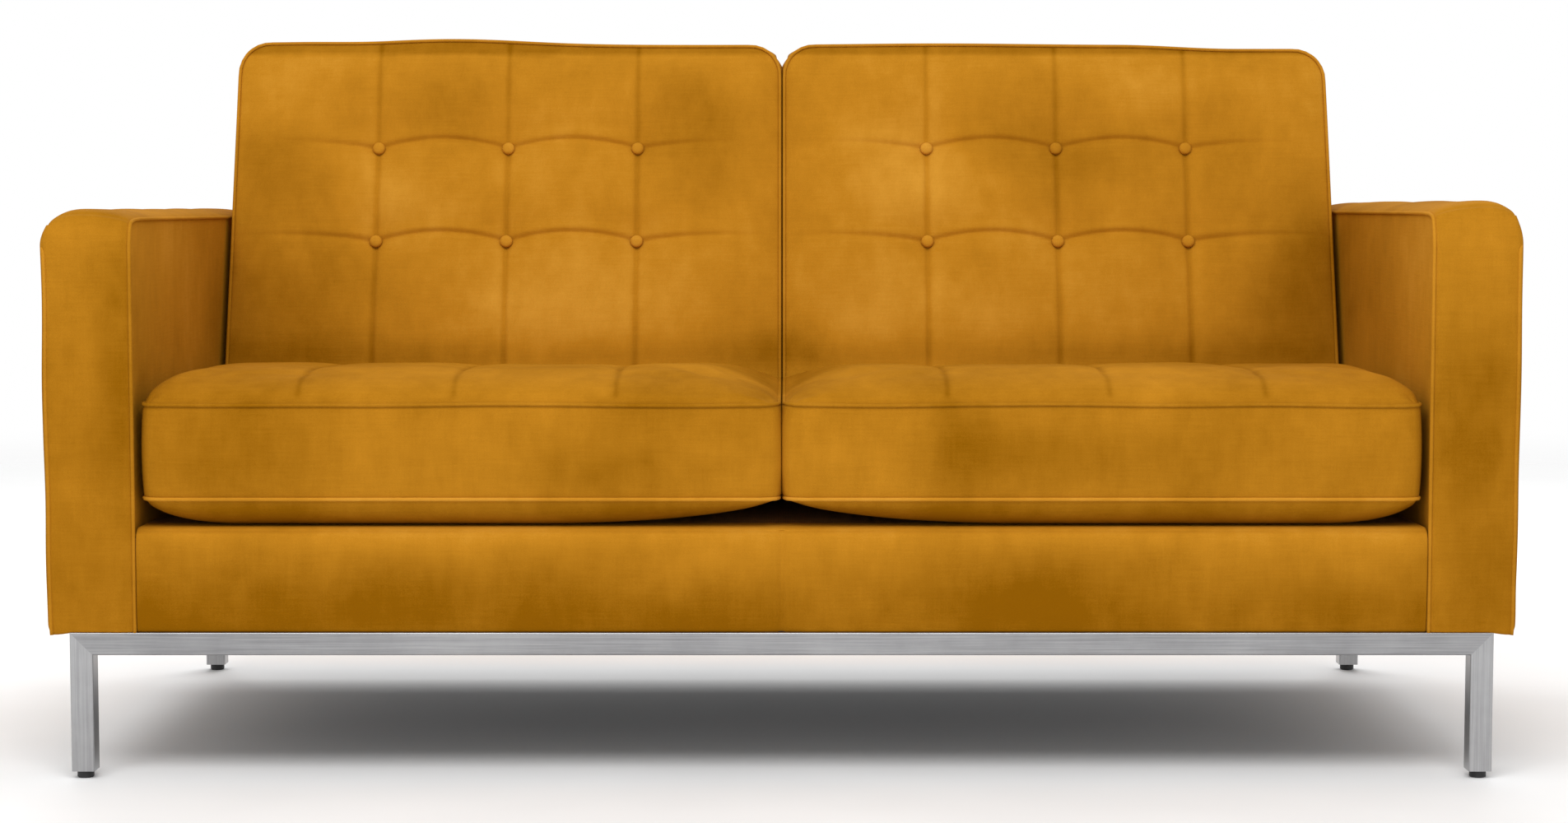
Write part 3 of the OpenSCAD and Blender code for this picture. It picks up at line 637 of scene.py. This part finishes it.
PUFF, DIP = 0.0025, 0.0130    # how far a cushion's top stands up in front and is sat down behind
SINK = 0.003            # how far the cushions' weight presses the deck down
CREST_DEPTH, DIP_RUN = 0.13, 0.30      # how far behind the front the top starts to dip, and over what depth
TUFT_SHARES = (0.255, 0.51, 0.755)     # tuft lines across a cushion, from its inner side
TUFT = ((0.0024, 0.0036), (0.0026, 0.022))      # depth and half-width of the stitches, and of their dip
CUSHION_CORNER = 0.020  # radius of a cushion's front corners
CUSHION_REAR_CORNER = 0.008
SIDE_BULGE, FRONT_BULGE = 0.0040, 0.0050        # how far a cushion's outer side and its front swell


def seat_cushion(side):
    """A loose, boxed cushion with piping round the upper and the lower edge of its side panels."""
    low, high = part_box("seat_cover_right")
    cord_low, cord_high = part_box("seat_piping_right")
    lower, upper = cord_low.z + CORD_HALF, cord_high.z - CORD_HALF
    inner, outer, front, rear = low.x, high.x, low.y, high.y
    tufts = [inner + share * (outer - inner) for share in TUFT_SHARES]
    case = Case(lines(inner, outer, fine_at=tufts), lines(front, rear), lines(lower, upper))
    x, y, z = case.flat.T.copy()
    from_in, from_out, from_front, from_rear = x - inner, outer - x, y - front, rear - y
    rear_edge = rise(from_rear, 0.05)
    top_crown = rise(from_in, 0.10) * rise(from_out, 0.040, 2.4) * rise(from_front, 0.055) * rear_edge
    under_crown = rise(from_in, 0.24, 1.7) * rise(from_out, 0.10) * rise(from_front, 0.036) * rear_edge
    fullness = 0.97
    up = (z - lower) / (upper - lower)
    bulge = np.sin(np.pi * up)
    dip = (PUFF + DIP) * np.clip((from_front - CREST_DEPTH) / DIP_RUN, 0, 1) ** 1.3
    crest = high.z - upper + PUFF - dip
    z = z + case.top * crest * top_crown * fullness - case.under * (lower - low.z + SINK) * under_crown
    y = y + from_front / (rear - front) * (up - 1) * (upper - lower) * FACE_LEAN
    x, y = round_corner(x, y, inner, front, CUSHION_CORNER, -1, -1)
    x, y = round_corner(x, y, outer, front, CUSHION_CORNER, 1, -1)
    x, y = round_corner(x, y, inner, rear, CUSHION_REAR_CORNER, -1, 1)
    x, y = round_corner(x, y, outer, rear, CUSHION_REAR_CORNER, 1, 1)
    # Away from the middle, square to the sides and round the corners
    away_x = x - np.clip(x, inner + CUSHION_CORNER, outer - CUSHION_CORNER)
    away_y = np.minimum(y - (front + CUSHION_CORNER), 0)
    length = np.maximum(np.hypot(away_x, away_y), 1e-6)
    walls = ~(case.top | case.under)
    x = x + walls * bulge ** 0.35 * away_x / length * np.where(away_x < 0, inner + BELLY, SIDE_BULGE)
    y = y + walls * bulge * away_y / length * FRONT_BULGE
    rest = np.stack([x, y, z], 1)
    wave = wobble(rest * (1, 1, 0), 0.16, 1 + SIDES[side]) * (1 - 0.6 * case.under)
    rest[:, 2] += 0.0022 * wave * ~case.under
    points, quads = on_side(rest, case.quads, side)
    cover = new_mesh(f"seat_cushion_{side}_cover", points, quads, velvet)

    seams = [case.rim(0), case.rim(len(case.zs) - 1)]
    held = np.zeros(len(points))
    held[seams[0] + seams[1]] = 1
    held[case.rear | case.inner] = 1
    held[case.under & (under_crown > 0.9)] = 1
    swell(cover, held, pressure=1.5, cap=0.004)

    now = points_of(cover)
    along = smooth_step(from_front, 0.040, 0.065) * case.top * smooth_step(from_rear, 0.0, 0.02)
    for tuft in tufts:
        now[:, 2] -= along * groove(from_in + inner - tuft, TUFT)
    set_points(cover, now)
    # Each piping gets its own base: painted light and painted shade.
    for name, seam, base in zip(("lower", "upper"), seams, (0.50, 0.22)):
        path = now[seam].copy()
        middle = np.array([SIDES[side] * (inner + outer) / 2, (front + rear) / 2])
        half = np.array([(outer - inner) / 2, (rear - front) / 2]) - CUSHION_CORNER
        away = path[:, :2] - middle
        away -= np.clip(away, -half, half)
        path[:, :2] += away / np.maximum(np.linalg.norm(away, axis=1, keepdims=True), 1e-6) * CORD_OUT
        piping(f"seat_cushion_{side}_{name}_piping", path, f"seat_cushion_{side}",
               [f"seat_piping_{side}"], closed=True, base=base)
    subdivide(cover)
    press_flat(cover, side, SEAT_ROOM)

    def shade(p):
        """Painted light and shade: a lighter top, and painted shade on the underside, in the tuft lines and
        at the middle corners.
        """
        x, z = p[:, 0], p[:, 2]
        top = 0.02 * smooth_step(z, upper, upper + 0.02)
        underside_shade = 0.25 * smooth_step(-z, -lower, -lower + 0.012)
        tuft_line_shade = seam_shade(np.abs(x), tufts) * smooth_step(z, upper + 0.004, upper + 0.012)
        corners = 0.16 * bell(x, 0.05) * smooth_step(z, upper + 0.002, upper + 0.010)
        return top - underside_shade - tuft_line_shade - corners

    upholster(cover, f"seat_cushion_{side}", [f"seat_cover_{side}", f"seat_foam_{side}"],
              base=0.31, extra=shade)


# ---- Back sections ----

BACK_CORNER = 0.036     # radius of a back section's upper corners
ARCH = 0.0105           # how far a pleat arches up between two buttons
ARCH_REACH = 0.055      # how far above and below a row of buttons the cover follows its pleat
OUTER_ARCH = 0.0065     # how far a pleat rises beyond the last button of its row
BACK_SEAM = ((0.0026, 0.0030), (0.0022, 0.020))     # depth and half-width of the seam, and of its dip
BACK_PLEAT = ((0.0026, 0.0030), (0.0018, 0.018))
PLEAT_ROLL = 0.0022     # how far the cover rolls out above a pleat
# A covered button's outline: radius, and height above the face
BUTTON = [(0.0070, -0.0030), (0.0079, -0.0004), (0.0080, 0.0012), (0.0074, 0.0028), (0.0060, 0.0040),
          (0.0040, 0.0047), (0.0018, 0.0050), (0.0, 0.0050)]


def top_shape(x):
    """How far a back section's top edge stands above, or sags below, its straight line."""
    left = 0.0075 * bell(x + 0.42, 0.13) + 0.003 * smooth_step(-x, 0.5, 0.62)
    right = 0.002 * bell(x - 0.20, 0.15) - 0.005 * smooth_step(x, 0.43, 0.58)
    return left + right


def back_section(side):
    """A fixed back section: a buttoned front, with piping round its front and its rear edge."""
    low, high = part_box("back_cover_right")
    inner, outer, foot, top = low.x, high.x, low.z, high.z
    columns = sorted({round(float(b[0]), 4) for b in BUTTONS})
    rows = sorted({round(float(b[2]), 3) for b in BUTTONS})
    case = Case(lines(inner, outer, fine_at=columns), lines(0, 0.2, 0.03), lines(foot, top, fine_at=rows))
    x, deep, z = case.flat.T.copy()
    deep = deep / 0.2
    flat_x, flat_z = x, z

    # The pleats arch: grid rows beside a row of buttons follow them
    between = np.zeros(len(x))
    for left, right in zip(columns, columns[1:]):
        share = np.clip((x - left) / (right - left), 0, 1)
        between += np.sin(np.pi * share) ** 0.8
    beyond = np.maximum(columns[0] - x, 0) + np.maximum(x - columns[-1], 0)
    arch = ARCH * between + OUTER_ARCH * (1 - np.exp(-beyond / 0.05))
    for row in rows:
        z = z + arch * np.clip(1 - np.abs(flat_z - row) / ARCH_REACH, 0, 1)
    x, z = round_corner(x, z, inner, top, BACK_CORNER, -1, 1)
    x, z = round_corner(x, z, outer, top, BACK_CORNER, 1, 1)
    y = face_y(z) + deep * (rear_y(z) - face_y(z))

    edge = rise(flat_x - inner, 0.075) * rise(outer - flat_x, 0.075) * rise(top - flat_z, 0.06)
    fullness = 0.85
    crown = edge * (0.004 + 0.0085 * smooth_step(flat_z, 0.44, 0.54))
    dimple = np.zeros(len(x))
    for bx, _, bz in BUTTONS:
        off = np.hypot(flat_x - bx, flat_z - bz)
        dimple = np.maximum(dimple, 0.45 * np.exp(-off / 0.014) + 0.55 * bell(off, 0.045))
    out = crown * (1 - dimple) * fullness
    side_walls = ~(case.front | case.rear | case.under)
    rest = np.stack([x, y, z], 1) + case.front[:, None] * out[:, None] * FACE_OUT
    rest[:, 1] += case.rear * 0.004 * edge
    middle_x = (inner + outer) / 2
    belly = np.sin(np.pi * np.clip(deep, 0, 1)) * side_walls
    share = np.clip((x - middle_x) / (outer - middle_x), -1, 1) ** 3
    rest[:, 0] += belly ** 0.4 * share * np.where(share < 0, inner + BELLY, 0.0022)
    rest[:, 2] += belly * 0.004 * case.top
    # The unevenness fades out towards the rear, where the frame holds the cover
    rest[:, 2] += top_shape(SIDES[side] * x) * smooth_step(z, 0.70, top) * smooth_step(-deep, -0.7, -0.1)
    points, quads = on_side(rest, case.quads, side)
    cover = new_mesh(f"back_{side}_cover", points, quads, velvet)

    at_button = np.zeros(len(x), bool)
    for bx, _, bz in BUTTONS:
        at_button |= np.hypot(flat_x - bx, flat_z - bz) < 0.0075
    held = np.where(case.front & (edge > 0), 0.0, 1.0)
    held[case.front & at_button] = 1
    held[case.front & (flat_z < 0.43)] = 1
    swell(cover, held, pressure=2.5, cap=0.005)

    # Seams down the columns and pleats along the rows
    push = np.zeros(len(x))
    gone = smooth_step(top - flat_z, 0.012, 0.05)
    firm = 0.55 + 0.45 * smooth_step(rows[-1] + 0.004 - flat_z, 0.0, 0.02)
    for column in columns:
        push -= gone * firm * groove(flat_x - column, BACK_SEAM)
    for row in rows:
        off = flat_z - row
        faded = bell(beyond, 0.11 if row == rows[0] else 0.085)
        push += faded * (PLEAT_ROLL * bell(off - 0.0075, 0.0060) - groove(off, BACK_PLEAT))
    now = points_of(cover)
    now += (case.front * push * (edge > 0))[:, None] * FACE_OUT
    set_points(cover, now)

    last_x, last_y, last_z = (len(a) - 1 for a in (case.xs, case.ys, case.zs))
    for name, j, sign in (("front", 0, 1), ("rear", last_y, -1)):
        edge_line = [(0, j, k) for k in range(last_z)] + [(i, j, last_z) for i in range(last_x)]
        edge_line += [(last_x, j, k) for k in range(last_z, -1, -1)]
        path = now[[case.number[key] for key in edge_line]].copy()
        centre = np.array([SIDES[side] * middle_x, 0, top - BACK_CORNER])
        away = path - centre
        away[:, 1] = 0
        straight = (outer - inner) / 2 - BACK_CORNER
        away[:, 0] -= np.clip(away[:, 0], -straight, straight)
        away[:, 2] = np.maximum(away[:, 2], 0)
        path += away / np.maximum(np.linalg.norm(away, axis=1, keepdims=True), 1e-6) * CORD_OUT
        path += sign * FACE_OUT * CORD_OUT * 0.6
        piping(f"back_{side}_{name}_piping", path, "sofa_frame", [f"back_piping_{side}"])
    subdivide(cover)
    press_flat(cover, side)

    def shade(p):
        """Painted shade: a darker band under the top edge, painted shade in the seams, and a shadow just
        above the seat.
        """
        x, z = np.abs(p[:, 0]), p[:, 2]
        behind = p[:, 1] - face_y(z)
        top_crease_shade = 0.30 * smooth_step(z, top - 0.012, top - 0.006)
        shadow = 0.18 * bell(z - 0.435, 0.022) * (behind < 0.03)
        return -top_crease_shade - seam_shade(x, columns) * (behind < 0.01) - shadow

    upholster(cover, "sofa_frame", [f"back_cover_{side}", f"back_foam_{side}"],
              base=0.50, extra=shade)

    shapes = [lathe(BUTTON, (SIDES[side] * bx, face_y(bz), bz), FACE_OUT) for bx, _, bz in BUTTONS]
    buttons = new_mesh(f"back_{side}_buttons", *join_shapes(shapes), trim)
    subdivide(buttons)
    upholster(buttons, "sofa_frame", ["back_buttons"], base=0.5)


# ---- Arms ----

ARM_OUTER_R = 0.042     # radius between an arm's top and its outer side
ARM_FRONT_R = 0.024     # radius between its top and its front, and its top and its rear
INNER_DROP = 0.0115     # how far its top falls to the inner edge
FOOT_TUCK = 0.0075      # how far its outer side draws in to its foot
SEAM_PULL = 0.0065      # how far its outer side draws in to its front and rear seams
FRONT_PAD, REAR_PAD = 0.0034, 0.002     # how far its front and its rear swell
# How much higher than in the frame an arm's top stands, and how much more its outer edge does
ARM_LIFT = {"left": (-0.0015, 0.0), "right": (0.005, 0.004)}


def arm(side):
    """A slab arm with a rounded outer corner, and piping on the inner and outer edge of its band."""
    low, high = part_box("arm_cover_right")
    inner, outer, front, rear, foot, top = low.x, high.x, low.y, high.y, low.z, high.z
    lift, tilt = ARM_LIFT[side]
    case = Case(lines(inner, outer, 0.009), lines(front, rear, 0.013),
                lines(foot, top, 0.012, fine_at=[top - ARM_OUTER_R]))
    x, y, z = case.flat.T.copy()
    flat_x, flat_y, flat_z = case.flat.T
    share = (flat_x - inner) / (outer - inner)
    near_top = smooth_step(flat_z, top - 0.06, top)
    z = z - near_top * INNER_DROP * (1 - rise(flat_x - inner, 0.05, 1.9))
    x, z = round_corner(x, z, outer, top, ARM_OUTER_R, 1, 1)
    y, over = round_corner(flat_y, flat_z, front, top, ARM_FRONT_R, -1, 1)
    y, over = round_corner(y, over, rear, top, ARM_FRONT_R, 1, 1)
    z = z + (over - flat_z) * np.clip((z - top) / ARM_OUTER_R + 1, 0, 1)
    z = z + near_top * (lift + tilt * share)
    tuck = FOOT_TUCK * (1 - rise(flat_z - foot, 0.040))
    seam_in = SEAM_PULL * (2 - rise(flat_y - front, 0.03) - rise(rear - flat_y, 0.03))
    x = x - share * np.maximum(tuck, seam_in * smooth_step(top - flat_z, 0.0, 0.03))
    across = rise(flat_x - inner, 0.018) * rise(outer - flat_x, 0.03)
    y = y + (case.rear * REAR_PAD - case.front * FRONT_PAD) * across
    rest = np.stack([x, y, z], 1)
    uneven = wobble(rest, 0.11, 9 + SIDES[side])
    rest[:, 0] += uneven * 0.0022 * share * smooth_step(flat_z, foot, foot + 0.05)
    rest[:, 1] -= uneven * 0.0016 * case.front * across
    rest[:, 2] += uneven * 0.0014 * near_top * across
    rest[:, 2] -= case.under * (0.0005 + 0.0025 * smooth_step(rest[:, 0], 0.768, 0.779))
    points, quads = on_side(rest, case.quads, side)
    cover = new_mesh(f"arm_{side}_cover", points, quads, velvet)

    last_x, last_y, last_z = (len(a) - 1 for a in (case.xs, case.ys, case.zs))
    side_row = int(np.argmin(np.abs(case.zs - (top - ARM_OUTER_R))))
    for name, i, crest in (("inner", 0, last_z), ("outer", last_x, side_row)):
        seam = [(i, 0, k) for k in range(crest)] + [(i, j, crest) for j in range(last_y)]
        seam += [(i, last_y, k) for k in range(crest, -1, -1)]
        path = points[[case.number[key] for key in seam]].copy()
        row, height = np.array(seam)[:, 1], np.array(seam)[:, 2]
        path[:, 0] -= SIDES[side] * CORD_OUT * (0.6 if name == "inner" else 1.1)
        path[:, 1] += ((row == last_y) * 1 - (row == 0)) * CORD_OUT * 0.7
        if name == "inner":
            path[:, 2] += (height == crest) * CORD_OUT * 0.5
        piping(f"arm_{side}_{name}_piping", softened(path, 6), "sofa_frame", [f"arm_piping_{side}"])
    subdivide(cover)
    # The inner side panel is painted lighter: painted light that lifts the shade between the arm and the
    # seat.
    upholster(cover, "sofa_frame", [f"arm_cover_{side}", f"arm_foam_{side}"],
              base=0.33, extra=lambda p: 0.16 * smooth_step(-np.abs(p[:, 0]), -inner - 0.003, -inner))


# ---- Rails, deck and dust cover ----

RAIL_SEAM = ((0.0018, 0.0028), (0.0016, 0.014))     # depth and half-width of the seam, and of its dip


def front_rail():
    """The padded cover of the front rail, with a seam in its middle."""
    low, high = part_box("front_rail_cover")
    case = Case(lines(low.x, high.x, 0.014, fine_at=[0.0]), lines(low.y, high.y, 0.012),
                lines(low.z, high.z, 0.010))
    x, y, z = case.flat.T.copy()
    up, down = z - low.z, high.z - z
    y, z = round_corner(y, z, low.y, high.z, 0.012, -1, 1)
    z = z - 0.004 * smooth_step(up, (high.z - low.z) / 2, high.z - low.z)
    padding = rise(up, 0.035) * rise(down, 0.035)
    y = y - case.front * (0.0034 * padding - groove(x, RAIL_SEAM))
    rest = np.stack([x, y, z], 1)
    rest[:, 1] -= case.front * 0.0024 * wobble(rest, 0.14, 21) * padding
    cover = new_mesh("front_rail_cover_visual", rest, case.quads, velvet)
    subdivide(cover)
    # Painted highlight along the rail's top and painted shade along its foot.
    upholster(cover, "sofa_frame", ["front_rail_cover", "front_rail_pad"], base=0.29,
              extra=lambda p: 0.2 * bell(p[:, 2] - high.z, 0.03) - 0.18 * bell(p[:, 2] - low.z, 0.05))


def rear_rail():
    """The plain cover of the rear rail, with a seam in its middle."""
    low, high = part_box("rear_rail_cover")
    case = Case(lines(low.x, high.x, 0.02, fine_at=[0.0]), np.array([low.y - 0.004, high.y]),
                lines(low.z, high.z, 0.014))
    x, y, z = case.flat.T.copy()
    taut = rise(z - low.z, 0.03) * rise(high.z - z, 0.03)
    y = y + case.rear * (0.0018 * taut - 0.0014 * bell(x, 0.0030))
    rest = np.stack([x, y, z], 1)
    rest[:, 1] += case.rear * 0.0016 * wobble(rest, 0.12, 23) * taut
    cover = new_mesh("rear_rail_cover_visual", rest, case.quads, velvet)
    subdivide(cover)
    upholster(cover, "sofa_frame", ["rear_rail_cover"], base=0.4)


def deck():
    """The padded deck under the cushions: plain cloth, stitched in channels."""
    low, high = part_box("deck_pad")
    channels = list(np.linspace(low.x, high.x, 8)[1:-1])
    case = Case(lines(low.x, high.x, 0.02, fine_at=channels), lines(low.y, high.y, 0.02),
                np.array([low.z, high.z]))
    x, y, z = case.flat.T.copy()
    full = rise(x - low.x, 0.03) * rise(high.x - x, 0.03) * rise(y - low.y, 0.03) * rise(high.y - y, 0.03)
    for channel in channels:
        full = full * (1 - 0.8 * np.exp(-np.abs(x - channel) / 0.010))
    z = z - case.top * (SINK + 0.0002 + 0.003 * (1 - full))
    pad = new_mesh("deck_pad_visual", np.stack([x, y, z], 1), case.quads, deck_cloth)
    subdivide(pad)
    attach(pad, "sofa_frame")
    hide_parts("deck_pad")


def dust_cover():
    """Black cloth stapled under the frame, a little slack between the rails."""
    low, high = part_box("dust_cover")
    thick = 0.0008
    case = Case(lines(low.x, high.x, 0.02), lines(low.y, high.y, 0.02), np.array([high.z - thick, high.z]))
    x, y, z = case.flat.T.copy()
    edge = np.minimum(np.minimum(x - low.x, high.x - x), np.minimum(y - low.y, high.y - y))
    slack = smooth_step(edge, 0.06, 0.22)
    folds = wobble(np.stack([x, y * 0.4, 0 * x], 1), 0.07, 31)
    z = z - slack * (0.004 + 0.0012 * folds)
    cloth = new_mesh("dust_cover_visual", np.stack([x, y, z], 1), case.quads, dust_cloth)
    subdivide(cloth)
    shapes = []
    staple, wire, apart = 0.010, 0.0007, 0.06
    for x in np.arange(low.x + 0.05, high.x, apart):
        for y in (low.y + 0.035, high.y - 0.035):
            shapes.append(small_box((x, y, high.z - thick), (staple / 2, wire, wire)))
    for y in np.arange(low.y + 0.06, high.y - 0.05, apart):
        for x in (low.x + 0.012, high.x - 0.012):
            shapes.append(small_box((x, y, high.z - thick), (wire, staple / 2, wire)))
    staples = new_mesh("dust_cover_staples", *join_shapes(shapes), zinc, smooth=False)
    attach(staples, "sofa_frame")
    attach(cloth, "sofa_frame")
    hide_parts("dust_cover")


# ---- Zips ----

def zip_strip(side):
    """The tape on the cushion's rear panel, with its row of teeth."""
    low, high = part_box("zip_right")
    panel_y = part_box("seat_cover_right")[1].y
    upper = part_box("seat_piping_right")[1].z - CORD_HALF
    middle = (low.z + high.z) / 2

    def on_panel(x, z, out):
        return [x, panel_y + (z - upper) * FACE_LEAN + out, z - out * FACE_LEAN]

    xs = np.arange(low.x, high.x + 1e-6, 0.01)
    zs = np.linspace(low.z + 0.001, high.z - 0.001, 7)
    points = [on_panel(x, z, out) for out in (-0.0012, 0.0004) for x in xs for z in zs]
    shell = len(xs) * len(zs)
    faces = []
    for i in range(len(xs) - 1):
        for k in range(len(zs) - 1):
            a = i * len(zs) + k
            quad = [a, a + 1, a + len(zs) + 1, a + len(zs)]
            faces.append([n + shell for n in quad])
            faces.append(quad[::-1])
    # Round the tape's edge, from its inner lower corner
    last_x, last_z = len(xs) - 1, len(zs) - 1
    edge = [(i, 0) for i in range(last_x)] + [(last_x, k) for k in range(last_z)]
    edge += [(i, last_z) for i in range(last_x, 0, -1)] + [(0, k) for k in range(last_z, 0, -1)]
    ring = [i * len(zs) + k for i, k in edge]
    for a, b in zip(ring, ring[1:] + ring[:1]):
        faces.append([a, b, b + shell, a + shell])
    tape = new_mesh(f"zip_{side}_tape", *on_side(points, faces, side), zip_tape)
    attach(tape, f"seat_cushion_{side}")
    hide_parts(f"zip_{side}")

    shapes = []
    tooth, pitch, stagger = (0.00055, 0.0004, 0.0022), 0.0016, 0.0008
    for n, x in enumerate(np.arange(low.x + 0.004, high.x - 0.004, pitch)):
        away = stagger if n % 2 else -stagger
        shapes.append(small_box(on_panel(x, middle + away, 0.0006), tooth))
    teeth = new_mesh(f"zip_{side}_teeth", *on_side(*join_shapes(shapes), side), brass, smooth=False)
    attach(teeth, f"seat_cushion_{side}")


for side in SIDES:
    seat_cushion(side)
    back_section(side)
    arm(side)
    zip_strip(side)
    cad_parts[f"zip_slider_{side}"].data.materials.clear()
    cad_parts[f"zip_slider_{side}"].data.materials.append(brass)
front_rail()
rear_rail()
deck()
dust_cover()


# ---- Camera, light and floor ----

camera = bpy.data.objects.new("camera", bpy.data.cameras.new("camera"))
bpy.context.scene.collection.objects.link(camera)
camera.data.lens, camera.data.sensor_width = 65.64, 36.0
camera.location = (0.0025, -3.4593, 0.6189)
camera.rotation_euler = (math.radians(90 - 4.096), 0, 0)
bpy.context.scene.camera = camera
bpy.context.scene.view_settings.view_transform = "Standard"


def softbox(name, place, target, size, power):
    """A white rectangular light at place, turned towards target."""
    light = bpy.data.lights.new(name, "AREA")
    light.shape, light.size, light.size_y = "RECTANGLE", *size
    light.energy = power
    made = bpy.data.objects.new(name, light)
    made.location = place
    made.rotation_euler = (Vector(target) - Vector(place)).to_track_quat("-Z", "Y").to_euler()
    bpy.context.scene.collection.objects.link(made)


def studio_world(to_sofa=0.66, to_camera=1.0):
    """White all round, and brighter to the camera than to the sofa."""
    world = bpy.data.worlds.new("studio")
    world.use_nodes = True
    nodes, links = world.node_tree.nodes, world.node_tree.links
    power = nodes.new("ShaderNodeMapRange")
    power.inputs["To Min"].default_value, power.inputs["To Max"].default_value = to_sofa, to_camera
    links.new(nodes.new("ShaderNodeLightPath").outputs["Is Camera Ray"], power.inputs["Value"])
    links.new(power.outputs["Result"], nodes["Background"].inputs["Strength"])
    nodes["Background"].inputs["Color"].default_value = (1, 1, 1, 1)
    bpy.context.scene.world = world


def studio_floor(reach=6.0, fade_from=1.6, fade_to=5.0):
    """A pale floor that fades out into the white round it, and that doesn't hide the sofa from below."""
    s = Surface("studio_floor", Roughness=0.9)
    s.colour(s.ramp(s.noise(3.0, 2.0), (0.3, srgb(246, 246, 246)), (0.7, srgb(252, 252, 252))))
    distance = s.add("VectorMath", {0: s.place}, operation="LENGTH").outputs["Value"]
    fade = s.add("MapRange", {"Value": distance, "From Min": fade_from, "From Max": fade_to},
                 interpolation_type="SMOOTHSTEP").outputs["Result"]
    hidden = s.math("MAXIMUM", fade, s.add("NewGeometry").outputs["Backfacing"])
    clear = s.add("BsdfTransparent").outputs["BSDF"]
    mixed = s.add("MixShader", {0: hidden, 1: s.shader.outputs["BSDF"], 2: clear}).outputs["Shader"]
    s.tree.links.new(mixed, s.tree.nodes["Material Output"].inputs["Surface"])
    points = [(-reach, -reach, 0), (reach, -reach, 0), (reach, reach, 0), (-reach, reach, 0)]
    new_mesh("studio_floor", points, [[0, 1, 2, 3]], s.material)


softbox("key", (-0.3, -2.4, 2.9), (0, 0, 0.4), (3.4, 1.6), 72)
softbox("fill", (0.3, -4.6, 0.7), (0, 0, 0.2), (3.4, 1.2), 14)
softbox("rim", (0.0, 2.4, 2.2), (0, 0.2, 0.0), (4.0, 1.2), 60)
studio_world()
studio_floor()
